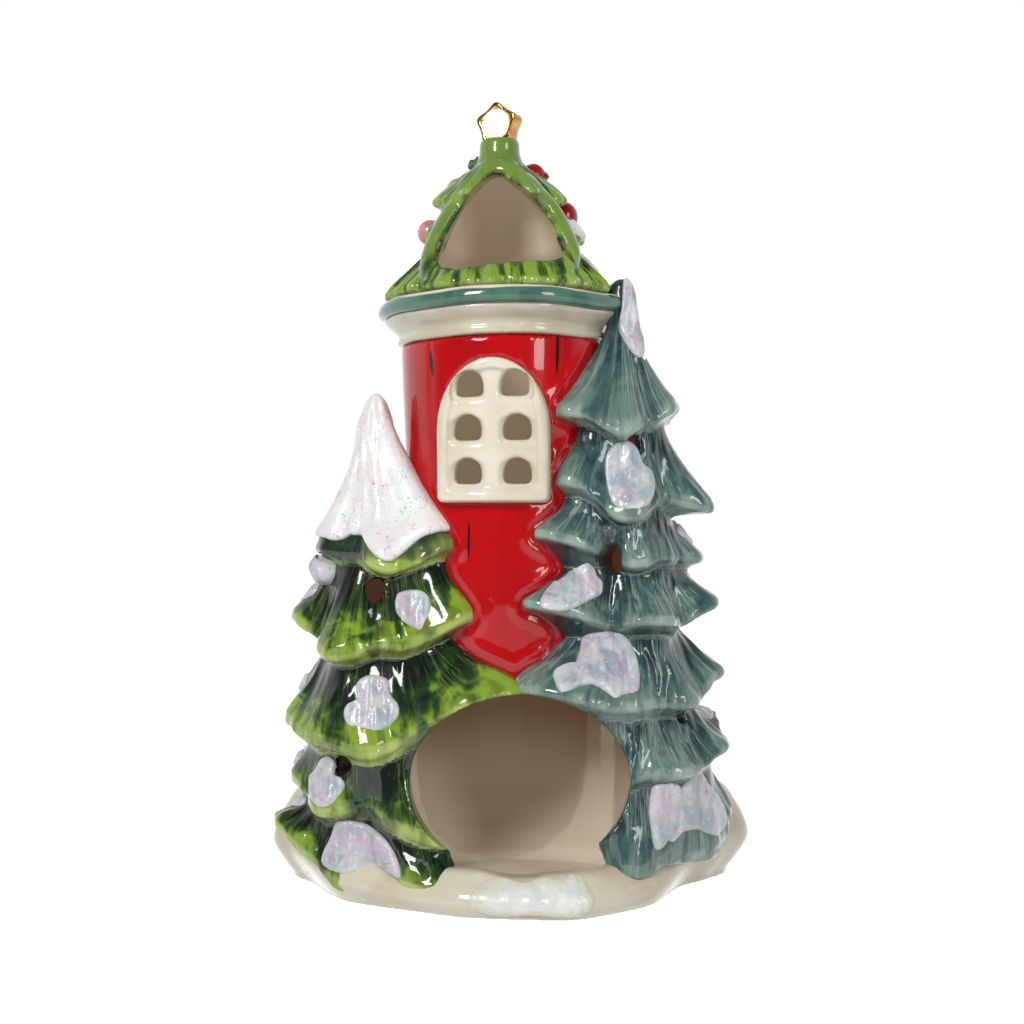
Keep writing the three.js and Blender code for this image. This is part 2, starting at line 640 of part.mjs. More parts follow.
function roofVent() {
  const points = VENT_OUTLINE.map(([x, rise]) => new THREE.Vector3(x, ROOF_FOOT_Z + rise, 0));
  const outline = new THREE.CatmullRomCurve3(points, true).getPoints(20).slice(0, -1);
  return pushedThroughWall(new THREE.Shape(outline.map((p) => new THREE.Vector2(p.x, p.y))), -90);
}

// A light hole runs level from the trunk's hollow out through the skirts.
function lightHole(form, { angle, z, width, height }) {
  const hole = new THREE.CylinderGeometry(1, 1, LIGHT_HOLE_REACH, 10).rotateZ(Math.PI / 2);
  hole.translate(LIGHT_HOLE_REACH / 2, 0, 0);
  hole.scale(1, width / 2, height / 2).rotateZ(THREE.MathUtils.degToRad(angle));
  const axis = form.at(0, z, 0);
  return solidFrom(hole.translate(axis.x, axis.y, axis.z));
}

const bank = snowBank();
const arch = candleArch();
const hollow = flue()
  .add(chamber())
  .add(trunkHollow(greenTree, GREEN_HOLLOW))
  .add(trunkHollow(blueTree, BLUE_HOLLOW));
const cavity = hollow.add(arch);

// Finished castings, each a solid

function cove() {
  const z = TOWER_TOP_Z + SEAM;
  const wall = TOWER_TOP_RADIUS;
  const bore = wall - WALL - 1;
  const profile = [
    [bore, z], [wall + 0.2, z], [wall + 1, z + 0.22 * CORNICE_HEIGHT], [wall + 0.9, z + 0.42 * CORNICE_HEIGHT],
    [wall + 0.45 * CORNICE_REACH, z + 0.72 * CORNICE_HEIGHT], [wall + CORNICE_REACH, z + CORNICE_HEIGHT],
    [bore, z + CORNICE_HEIGHT], [bore, z],
  ];
  return turned(profile, [TOWER_X, 0]).subtract(cavity);
}

function rolledEave() {
  const z = TOWER_TOP_Z + CORNICE_HEIGHT + 2 * SEAM;
  const edge = TOWER_TOP_RADIUS + EAVE_REACH;
  const bore = TOWER_TOP_RADIUS - WALL - 1;
  const roll = EAVE_HEIGHT / 2;
  const profile = [[bore, z], [edge - roll, z]];
  for (const turn of [-45, 0, 45])
    profile.push([
      edge - roll + roll * Math.cos(THREE.MathUtils.degToRad(turn)),
      z + roll + roll * Math.sin(THREE.MathUtils.degToRad(turn)),
    ]);
  profile.push([edge - roll, z + EAVE_HEIGHT], [bore, z + EAVE_HEIGHT], [bore, z]);
  return turned(profile, [TOWER_X, 0]).subtract(cavity);
}

// The band of wall between two radii, for pieces that follow the tower's round face.
function wallBand(inner, outer) {
  const tube = (proud) => turned([[0, 0], ...towerProfile(-proud), [0, TOWER_TOP_Z]], [TOWER_X, 0]);
  return tube(outer).subtract(tube(inner));
}

// A pierced window: an arched slab that fills a hole in the wall, with a panel sunk round each pane's hole.
function windowFrame({ width, height, sill, facing, rows }) {
  const slab = pushedThroughWall(archShape(width, height, sill), facing, { curveSegments: 10 });
  let frame = slab.intersect(wallBand(-WALL, WINDOW_PROUD));
  const panelWidth = (width - 2 * WINDOW_BORDER - WINDOW_MULLION) / 2;
  const panelHeight = (height - 2 * WINDOW_BORDER - (rows - 1) * WINDOW_RAIL) / rows;
  const recess = wallBand(WINDOW_PROUD - PANE_RECESS, 2 * WINDOW_PROUD);
  const throughWall = (shape) => pushedThroughWall(shape, facing, { curveSegments: 3 });
  for (let row = 0; row < rows; row++)
    for (const side of [-1, 1]) {
      const x = (side * (WINDOW_MULLION + panelWidth)) / 2;
      const z = sill + WINDOW_BORDER + row * (panelHeight + WINDOW_RAIL);
      const inHead = row === rows - 1;
      const panel = archShape(panelWidth, panelHeight, z, { x, headShare: inHead ? 0.6 : 0.25, corner: 1.2 });
      const holeX = inHead ? x - 0.6 * side : x;
      const pane = archShape(PANE_WIDTH, PANE_HEIGHT, z + 1, { x: holeX, headShare: 0.55, corner: 1 });
      frame = frame.subtract(throughWall(panel).intersect(recess)).subtract(throughWall(pane));
    }
  return frame;
}

const windowHole = ({ width, height, sill, facing }) =>
  pushedThroughWall(archShape(width + 2 * SEAM, height + 2 * SEAM, sill - SEAM), facing, { curveSegments: 10 });

const rearWindow = {
  width: WINDOW_WIDTH, height: WINDOW_HEIGHT, sill: WINDOW_SILL_Z, facing: WINDOW_TURN, rows: 3,
};
const frontWindow = {
  width: FRONT_WINDOW_WIDTH, height: FRONT_WINDOW_HEIGHT, sill: FRONT_WINDOW_SILL_Z, facing: FRONT_TURN, rows: 2,
};

function doorPiece(width, height, from, proud) {
  return pushedThroughWall(archShape(width, height, DOOR_SILL_Z), FRONT_TURN).intersect(wallBand(from, proud));
}

function doorKnob() {
  const reach = TOWER_FOOT_RADIUS + DOOR_PANEL_PROUD + 0.4 * KNOB_RADIUS;
  const knob = new THREE.SphereGeometry(KNOB_RADIUS, 10, 8);
  const x = TOWER_X + DOOR_WIDTH / 2 - DOOR_CASING - SEAM - 2 * KNOB_RADIUS;
  knob.translate(x, reach, DOOR_SILL_Z + KNOB_HEIGHT_SHARE * DOOR_HEIGHT);
  return solidFrom(knob);
}

function star(seat) {
  const shape = new THREE.Shape();
  for (let i = 0; i < 10; i++) {
    const radius = i % 2 ? STAR_INNER_RADIUS : STAR_RADIUS;
    const turn = Math.PI / 2 + (i * Math.PI) / 5;
    shape[i ? "lineTo" : "moveTo"](radius * Math.cos(turn), radius * Math.sin(turn));
  }
  const geometry = new THREE.ExtrudeGeometry(shape, {
    depth: STAR_THICKNESS - 2 * STAR_BEVEL,
    bevelSize: STAR_BEVEL,
    bevelThickness: STAR_BEVEL,
    bevelOffset: -STAR_BEVEL,
    bevelSegments: 2,
  }).center();
  geometry.rotateX(Math.PI / 2).rotateZ(THREE.MathUtils.degToRad(STAR_TURN));
  const rise = ROOF_TOP_Z + STAR_RADIUS * Math.sin(THREE.MathUtils.degToRad(54)) - STAR_SINK;
  return solidFrom(geometry.translate(TOWER_X - ROOF_TIP_OFFSET, 0, rise)).subtract(grown(seat));
}

// A patch of snow for a skirt: a pillow with a wavy outline, rooted in the skirt.
function snowPatch(form, { tier, share, angle, across, along, waves = 3, phase = 0, thick = SNOW_THICKNESS }) {
  const steps = 11;
  const ring = (part, height) =>
    Array.from({ length: steps }, (_, i) => {
      const turn = (2 * Math.PI * i) / steps;
      const reach = part * (1 + 0.13 * Math.sin(waves * turn + phase));
      const here = [tier, share + reach * along * Math.sin(turn), angle + reach * across * Math.cos(turn)];
      return form.point(...here).addScaledVector(form.normal(...here), height);
    });
  const rings = [
    ring(0.94, -SNOW_ROOTS), ring(1, 0.35 * thick), ring(0.82, 0.85 * thick), ring(0.4, thick),
  ];
  return solidFrom(stackRings(rings));
}

// A round fruit or bauble pressed into the roof at a tier, share and angle.
function bauble({ tier, share, angle, radius, sink = 0.5 }) {
  const centre = roofForm.point(tier, share, angle);
  centre.addScaledVector(roofForm.normal(tier, share, angle), radius * (1 - sink));
  return solidFrom(new THREE.SphereGeometry(radius, 10, 7).translate(centre.x, centre.y, centre.z));
}

// A pointed holly leaf that lies against the roof's neck.
function hollyLeaf(angle) {
  const leaf = new THREE.Shape();
  leaf.moveTo(-LEAF_LENGTH / 2, 0);
  leaf.quadraticCurveTo(0, -2 * LEAF_HALF_WIDTH, LEAF_LENGTH / 2, 0);
  leaf.quadraticCurveTo(0, 2 * LEAF_HALF_WIDTH, -LEAF_LENGTH / 2, 0);
  const geometry = new THREE.ExtrudeGeometry(leaf, {
    depth: LEAF_THICKNESS / 2,
    bevelSize: LEAF_THICKNESS / 4,
    bevelThickness: LEAF_THICKNESS / 4,
    bevelOffset: -LEAF_THICKNESS / 4,
    bevelSegments: 1,
    curveSegments: 4,
  }).translate(ROOF_NECK_RADIUS + LEAF_LENGTH / 4, 0, 0);
  geometry.rotateX(THREE.MathUtils.degToRad(LEAF_TILT)).rotateZ(THREE.MathUtils.degToRad(angle));
  return solidFrom(geometry.translate(TOWER_X, 0, ROOF_TOP_Z - LEAF_DROP));
}

// A thin drift of glitter on the sill in front of the arch.
function sillDrift(seat) {
  const outline = new THREE.EllipseCurve(0, 0, GLITTER.halfWidth, GLITTER.halfDepth).getPoints(20).slice(0, -1);
  const ring = (z) => outline.map((p) => new THREE.Vector3(GLITTER.x + p.x, GLITTER.y + p.y, z));
  const column = solidFrom(stackRings([ring(BANK_HEIGHT / 2), ring(2 * BANK_HEIGHT)]));
  const skin = grown(seat, SEAM + GLITTER.thickness).subtract(grown(seat));
  return casting(column.intersect(skin).subtract(grown(arch)));
}

// Assembly

const towerGrown = grown(towerOuter);
const bankGrown = grown(bank);
const eaveBlock = turned(
  [
    [0, TOWER_TOP_Z - SEAM], [TOWER_TOP_RADIUS + 1 + SEAM, TOWER_TOP_Z - SEAM],
    [TOWER_TOP_RADIUS + EAVE_REACH + SEAM, TOWER_TOP_Z + CORNICE_HEIGHT],
    [TOWER_TOP_RADIUS + EAVE_REACH + SEAM, ROOF_FOOT_Z + SEAM], [0, ROOF_FOOT_Z + SEAM],
  ],
  [TOWER_X, 0],
);
const roofWhole = roofForm.solid(ROOF_FOOT_Z, ROOF_FOOT_RADIUS - 2);
const roofGrown = grown(roofWhole);
const blueWhole = blueTree.solid(FLOOR_Z, TREE_FOOT_RADIUS);
const greenWhole = greenTree.solid(FLOOR_Z, TREE_FOOT_RADIUS);
const blueGrown = grown(blueWhole);
const greenGrown = grown(greenWhole);

const cutFrom = (solid, ...tools) => tools.reduce((rest, tool) => rest.subtract(tool), solid);
const blueHoles = BLUE_LIGHT_HOLES.map((hole) => lightHole(blueTree, hole));
const greenHoles = GREEN_LIGHT_HOLES.map((hole) => lightHole(greenTree, hole));
const blueCasting = cutFrom(blueWhole, towerGrown, eaveBlock, roofGrown, bankGrown, cavity, ...blueHoles);
const greenCasting = cutFrom(greenWhole, towerGrown, blueGrown, bankGrown, cavity, ...greenHoles);
const towerCasting = cutFrom(towerOuter, cavity, bankGrown, windowHole(rearWindow), windowHole(frontWindow));
const roofCasting = roofWhole.subtract(hollow).subtract(roofVent());

const group = new THREE.Group();

// The house leans a little: above LEAN_FROM_Z it rises to the right, the same for every piece.
function leant(geometry) {
  const position = geometry.getAttribute("position");
  for (let i = 0; i < position.count; i++) {
    const z = position.getZ(i);
    const share = THREE.MathUtils.smoothstep(z, LEAN_FROM_Z, TOWER_TOP_Z);
    position.setZ(i, z + LEAN * share * (position.getX(i) - TOWER_X));
  }
  return geometry;
}

function place(name, solid, glaze) {
  const geometry = leant(geometryFrom(casting(solid).asOriginal().simplify(FAIRING)));
  geometry.computeVertexNormals();
  const mesh = new THREE.Mesh(geometry, new THREE.MeshStandardMaterial(GLAZE[glaze]));
  mesh.name = name;
  group.add(mesh);
}

// Sprigs are luted on one after another: each is cut from its seats and from the sprigs before it.
function luted(seats) {
  const inPlace = [...seats];
  return (solid) => {
    const cut = cutFrom(solid, ...inPlace);
    inPlace.push(grown(solid));
    return cut;
  };
}

function placeSnow(name, form, patches, lute) {
  patches.forEach((patch, i) => place(`${name}_${i + 1}`, lute(snowPatch(form, patch)), "snow"));
}

place("snow_base", bank.subtract(cavity), "cream");
place("sill_glitter_drift", sillDrift(bank), "snow");
place("tower_wall", towerCasting, "red");
place("rear_window_frame", windowFrame(rearWindow), "cream");
place("front_window_frame", windowFrame(frontWindow), "cream");
const doorCasing = doorPiece(DOOR_WIDTH, DOOR_HEIGHT, SEAM, DOOR_PROUD).subtract(
  doorPiece(DOOR_WIDTH - 2 * DOOR_CASING, DOOR_HEIGHT - DOOR_CASING, -1, DOOR_PROUD + 1),
);
const doorPanel = doorPiece(
  DOOR_WIDTH - 2 * DOOR_CASING - 2 * SEAM, DOOR_HEIGHT - DOOR_CASING - SEAM, SEAM, DOOR_PANEL_PROUD,
);
place("front_door_casing", doorCasing.subtract(bankGrown), "cream");
place("front_door", doorPanel.subtract(bankGrown), "doorBrown");
place("front_door_knob", doorKnob().subtract(grown(doorPanel)), "gold");
place("cornice", cove(), "cream");
place("eave_roll", rolledEave(), "teal");
place("roof_shell", roofCasting, "roofGreen");
place("star_finial", star(roofWhole), "gold");
place("green_tree", greenCasting, "treeGreen");
place("blue_tree", blueCasting, "treeBlue");

const hatHem = (angle) => 0.93 + 0.04 * Math.cos(THREE.MathUtils.degToRad(5 * (angle + 74)));
place(
  "green_tree_snow_hat",
  cutFrom(greenTree.snowHat(SNOW_THICKNESS, hatHem), greenGrown, towerGrown, blueGrown),
  "snow",
);

const greenPatches = [
  { tier: 1, share: 0.56, angle: -61, across: 12, along: 0.28, waves: 2 },
  { tier: 1, share: 0.6, angle: 165, across: 18, along: 0.26 },
  { tier: 2, share: 0.58, angle: -90, across: 17.5, along: 0.32, waves: 3, phase: 4.7 },
  { tier: 2, share: 0.6, angle: 165, across: 18, along: 0.26 },
  { tier: 3, share: 0.55, angle: -124, across: 17, along: 0.36, waves: 4 },
  { tier: 3, share: 0.6, angle: 168, across: 16, along: 0.3 },
  { tier: 4, share: 0.46, angle: -99, across: 24, along: 0.4, waves: 5 },
  { tier: 4, share: 0.3, angle: 172, across: 15, along: 0.26 },
];
placeSnow("green_tree_snow", greenTree, greenPatches, luted([greenGrown, towerGrown, bankGrown, blueGrown]));

const bluePatches = [
  { tier: 0, share: 0.2, angle: -58, across: 46, along: 0.4, waves: 2 },
  { tier: 1, share: 0.54, angle: -94, across: 21, along: 0.46, waves: 3, phase: 1.6 },
  { tier: 2, share: 0.5, angle: 20, across: 20, along: 0.32 },
  { tier: 3, share: 0.62, angle: -134, across: 19, along: 0.34, waves: 3, phase: 2.4 },
  { tier: 4, share: 0.58, angle: -112, across: 22, along: 0.38, waves: 5, phase: 0.8 },
  { tier: 5, share: 0.5, angle: 25, across: 17, along: 0.34 },
  { tier: 6, share: 0.45, angle: -50, across: 33, along: 0.42, waves: 5, phase: 2.2 },
  { tier: 6, share: 0.5, angle: 34, across: 17, along: 0.26 },
];
const onBlueTree = luted([blueGrown, towerGrown, eaveBlock, roofGrown, bankGrown]);
placeSnow("blue_tree_snow", blueTree, bluePatches, onBlueTree);

const roofPatches = [
  { tier: 1, share: 0.7, angle: -8, across: 20, along: 0.34, waves: 3 },
  { tier: 1, share: 0.8, angle: 146, across: 14, along: 0.24 },
  { tier: 2, share: 0.42, angle: 4, across: 13, along: 0.36, waves: 4 },
  { tier: 2, share: 0.2, angle: 166, across: 12, along: 0.16 },
];
const onRoof = luted([roofGrown]);
for (const [name, solid, glaze] of [
  ["roof_bauble_red_large", bauble({ tier: 1, share: 0.16, angle: 22, radius: BAUBLE_RADIUS }), "fruitRed"],
  ["roof_bauble_red_small", bauble({ tier: 0, share: 0.36, angle: 30, radius: 0.8 * BAUBLE_RADIUS }), "fruitRed"],
  ["roof_bauble_pink", bauble({ tier: 1, share: 0.66, angle: 160, radius: 0.8 * BAUBLE_RADIUS }), "fruitPink"],
  ["roof_bauble_peach", bauble({ tier: 0, share: 0.66, angle: 152, radius: 0.8 * BAUBLE_RADIUS }), "fruitPeach"],
  ["roof_berry_upper", bauble({ tier: 2, share: 0.66, angle: 163, radius: 0.4 * BAUBLE_RADIUS }), "fruitRed"],
  ["roof_berry_lower", bauble({ tier: 2, share: 0.9, angle: 158, radius: 0.4 * BAUBLE_RADIUS }), "fruitRed"],
  ["roof_holly_leaf_left", hollyLeaf(150), "roofGreen"],
  ["roof_holly_leaf_right", hollyLeaf(50), "roofGreen"],
])
  place(name, onRoof(solid), glaze);
placeSnow("roof_snow", roofForm, roofPatches, onRoof);

export default group;
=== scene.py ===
"""Looks of a glazed ceramic candle house: a red tower between two pine trees on a bank of snow."""

import logging
import math
from collections.abc import Callable
from dataclasses import dataclass, field
from enum import Enum
from functools import cached_property

import bpy
import numpy as np
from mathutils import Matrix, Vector


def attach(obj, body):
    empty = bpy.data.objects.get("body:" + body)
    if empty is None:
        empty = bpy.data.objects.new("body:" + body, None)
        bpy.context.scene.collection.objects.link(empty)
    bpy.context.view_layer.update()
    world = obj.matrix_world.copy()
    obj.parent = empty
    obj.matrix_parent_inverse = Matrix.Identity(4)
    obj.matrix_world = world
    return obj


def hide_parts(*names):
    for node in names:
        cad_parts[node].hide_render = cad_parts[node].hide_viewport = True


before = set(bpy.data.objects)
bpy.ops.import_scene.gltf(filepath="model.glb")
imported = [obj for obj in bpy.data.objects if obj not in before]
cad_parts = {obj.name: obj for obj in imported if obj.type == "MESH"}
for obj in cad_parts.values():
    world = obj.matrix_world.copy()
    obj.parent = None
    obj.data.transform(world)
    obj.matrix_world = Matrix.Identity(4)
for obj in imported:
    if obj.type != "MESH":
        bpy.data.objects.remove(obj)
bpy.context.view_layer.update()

logging.basicConfig(level=logging.INFO, format="%(message)s")
log = logging.getLogger("candle_house")

Array = np.ndarray
Colour = tuple[float, float, float, float]
Point2 = tuple[float, float]
Point3 = tuple[float, float, float]
Faces = list[list[int]]
Piece = bpy.types.Object

# Sizes in millimetres and angles in degrees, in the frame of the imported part, as in its source.
MM = 0.001
TOWER_X = -3.0
TOWER_TOP_Z = 150.4
LEAN = 0.022
LEAN_FROM_Z = 100.0
FLOOR_Z = 4.0
CORNICE_HEIGHT = 6.4
EAVE_HEIGHT = 4.6
EAVE_REACH = 6.6
SEAM = 0.3
TOWER_TOP_RADIUS = 28.3
ROOF_FOOT_Z = TOWER_TOP_Z + CORNICE_HEIGHT + EAVE_HEIGHT + 3 * SEAM
ROOF_FOOT_RADIUS = TOWER_TOP_RADIUS + EAVE_REACH - 2.6
ROOF_HEIGHT = 45.3
ROOF_LEAN = 0.9


def srgb(red: int, green: int, blue: int) -> Colour:
    """Turns a colour as a screen shows it into linear light.

    Args:
        red: Red, from 0 to 255.
        green: Green, from 0 to 255.
        blue: Blue, from 0 to 255.

    Returns:
        The linear red, green and blue, and an alpha of 1.
    """
    parts = [c / 255 for c in (red, green, blue)]
    linear = [c / 12.92 if c <= 0.04045 else ((c + 0.055) / 1.055) ** 2.4 for c in parts]
    return linear[0], linear[1], linear[2], 1.0


def ease(value: Array, low: float, high: float) -> Array:
    """Rises smoothly from 0 at low to 1 at high: 3t^2 - 2t^3 of the share t of the way."""
    t = np.clip((value - low) / (high - low), 0.0, 1.0)
    return t * t * (3 - 2 * t)


def mixed(a: Array | float, b: Array | float, share: Array | float) -> Array:
    """Goes in a straight line from a, at share 0, to b, at share 1."""
    return a + (b - a) * share


def around(count: int) -> Array:
    """Evenly spaced directions, in degrees."""
    return np.arange(count) * 360 / count


def joined(*sides: Array | float) -> Array:
    """Points or vectors from their sides, spread to a common shape."""
    return np.stack(np.broadcast_arrays(*sides), -1)


def unit(vectors: Array) -> Array:
    """Vectors brought to a length of 1."""
    return vectors / np.maximum(np.linalg.norm(vectors, axis=-1, keepdims=True), 1e-9)


def bough_weight(angle: Array, at: float, spread: float) -> Array:
    """How strongly a bough shows: cos(90 degrees times the share of its spread) to the power 1.3."""
    away = np.abs(np.mod(angle - at + 180, 360) - 180) / spread
    return np.where(away < 1, np.cos(np.pi / 2 * np.minimum(away, 1)), 0.0) ** 1.3


def leant(points: Array) -> Array:
    """Leans the top of the house: each point rises with its way to the right, fully above the tower."""
    out = points.copy()
    out[:, 2] += LEAN * ease(points[:, 2], LEAN_FROM_Z, TOWER_TOP_Z) * (points[:, 0] - TOWER_X)
    return out


def turned_by(across: Array, out: Array, angle: float) -> tuple[Array, Array]:
    """Turns pairs by an angle: (a cos - b sin, a sin + b cos)."""
    way = math.radians(angle)
    return across * math.cos(way) - out * math.sin(way), across * math.sin(way) + out * math.cos(way)


def ripple(*waves: tuple[Array, float, float]) -> Array:
    """Adds up sines of (value, frequency, phase), each half as strong as the one before."""
    return sum(0.5**n * np.sin(rate * value + phase) for n, (value, rate, phase) in enumerate(waves))


def quads(rings: int, steps: int, closed: bool) -> Array:
    """Faces between neighbouring rings of points.

    Args:
        rings: Count of rings.
        steps: Points in a ring, the last of which joins the first.
        closed: Whether the last ring joins the first too.

    Returns:
        Point numbers as (n, 4).
    """
    row, step = np.meshgrid(np.arange(rings - (not closed)), np.arange(steps), indexing="ij")
    after, above = (step + 1) % steps, (row + 1) % rings * steps
    row = row * steps
    return np.stack([row + step, row + after, above + after, above + step], -1).reshape(-1, 4)


def stacked(grid: Array) -> tuple[Array, Faces]:
    """Closes a grid of rings into a skin, with a fan from the middle of each end.

    Args:
        grid: Points as (rings, steps, 3).

    Returns:
        The points as (n, 3), and the faces.
    """
    rings, steps = grid.shape[:2]
    points = np.concatenate([grid.reshape(-1, 3), [grid[0].mean(0), grid[-1].mean(0)]])
    first = np.arange(steps)
    second = (first + 1) % steps
    low, top = rings * steps, (rings - 1) * steps
    fans = [
        np.stack([np.full(steps, low), second, first], -1),
        np.stack([np.full(steps, low + 1), top + first, top + second], -1),
    ]
    return points, quads(rings, steps, False).tolist() + np.concatenate(fans).tolist()


def tube(grid: Array) -> tuple[Array, Faces]:
    """Closes a grid of rings into the points and faces of a ring: the last joins the first."""
    return grid.reshape(-1, 3), quads(*grid.shape[:2], True).tolist()


def outward(points: Array, faces: Faces) -> Faces:
    """Turns all faces of a closed skin round if its signed volume says that they face inwards."""
    halves = [f[:3] for f in faces] + [[f[0], *f[2:]] for f in faces if len(f) > 3]
    a, b, c = points[np.array(halves).T]
    volume = np.einsum("ij,ij->i", a, np.cross(b, c)).sum()
    return faces if volume > 0 else [f[::-1] for f in faces]


def put(name: str, points: Array, faces: Faces) -> Piece:
    """Puts a closed skin into a new mesh object at the origin.

    Args:
        name: Name of the piece.
        points: Points in millimetres.
        faces: Faces as tuples of point numbers.

    Returns:
        The new object, in metres.
    """
    mesh = bpy.data.meshes.new(name)
    mesh.from_pydata((points * MM).tolist(), [], outward(points, faces))
    mesh.validate()
    mesh.update()
    piece = bpy.data.objects.new(name, mesh)
    bpy.context.scene.collection.objects.link(piece)
    return piece


def skin(name: str, grid: Array) -> Piece:
    """Puts a grid of rings into a new closed mesh object."""
    return put(name, *stacked(grid))


def points_of(piece: Piece) -> Array:
    """The piece's points in millimetres, as (n, 3)."""
    flat = np.empty(len(piece.data.vertices) * 3, np.float32)
    piece.data.vertices.foreach_get("co", flat)
    return flat.reshape(-1, 3).astype(float) / MM


def move_points(piece: Piece, points: Array) -> None:
    """Sets the piece's points from millimetres."""
    piece.data.vertices.foreach_set("co", (points * MM).astype(np.float32).ravel())
    piece.data.update()


def tilted(piece: Piece) -> Piece:
    """Leans a piece with the top of the house."""
    move_points(piece, leant(points_of(piece)))
    return piece


def store(piece: Piece, name: str, values: Array) -> None:
    """Keeps a number or a vector per point as an attribute of the piece's mesh."""
    kind = "FLOAT" if values.ndim == 1 else "FLOAT_VECTOR"
    layer = piece.data.attributes.new(name, kind, "POINT")
    layer.data.foreach_set("value" if kind == "FLOAT" else "vector", values.astype(np.float32).ravel())


class Cut(Enum):
    """What a tool does to a piece."""

    AWAY = "DIFFERENCE"
    ONTO = "UNION"


def bake(piece: Piece) -> None:
    """Makes the piece's modifiers part of its mesh."""
    depsgraph = bpy.context.evaluated_depsgraph_get()
    mesh = bpy.data.meshes.new_from_object(piece.evaluated_get(depsgraph))
    old = piece.data
    piece.modifiers.clear()
    piece.data = mesh
    bpy.data.meshes.remove(old)
    mesh.name = piece.name


def cut(piece: Piece, tools: list[Piece], how: Cut = Cut.AWAY) -> None:
    """Cuts a piece with tools, which must be closed skins, and removes them.

    Args:
        piece: The piece, a closed skin too.
        tools: The tools.
        how: What they do to it.
    """
    for tool in tools:
        step = piece.modifiers.new(tool.name, "BOOLEAN")
        step.operation = how.value
        step.solver = "MANIFOLD"
        step.object = tool
    bake(piece)
    for tool in tools:
        mesh = tool.data
        bpy.data.objects.remove(tool)
        bpy.data.meshes.remove(mesh)


def smoothed(piece: Piece, rounds: int) -> None:
    """Smooths a piece and bakes its modifiers."""
    piece.modifiers.new("glaze_flow", "SMOOTH").iterations = rounds
    bake(piece)


def glazed(piece: Piece, voxel: float, smoothing: int) -> None:
    """Melts a cut skin into one even skin, as glaze does: a voxel remesh, then a smoothing.

    Args:
        piece: The piece, which is a closed skin.
        voxel: Size of the new faces, in millimetres.
        smoothing: Rounds of smoothing.
    """
    remesh = piece.modifiers.new("glaze_coat", "REMESH")
    remesh.mode = "VOXEL"
    remesh.voxel_size = voxel * MM
    smoothed(piece, smoothing)


@dataclass(frozen=True)
class Bough:
    """One bough of a skirt; what it leaves out is as on the rest of the skirt.

    at is its direction and spread how far round it shows. radius and z are its tip's, neck and tuck say how
    far the form draws in below it, and flare how its upper face curves.
    """

    at: float
    radius: float
    z: float
    spread: float
    neck: float | None = None
    tuck: float | None = None
    flare: float | None = None


@dataclass(frozen=True)
class Skirt:
    """One tier of boughs round a form."""

    radius: float
    z: float
    neck: float
    tuck: float
    boughs: tuple[Bough, ...]
    flare: float | None = None


@dataclass(frozen=True)
class Relief:
    """What is pressed into a skirt: broad folds, fine needles and swollen boughs, all in millimetres."""

    fold_width: float = 6.5
    fold_height: float = 0.34
    needle_width: float = 2.0
    needle_height: float = 0.1
    wander: float = 2.0
    swell: float = 1.3


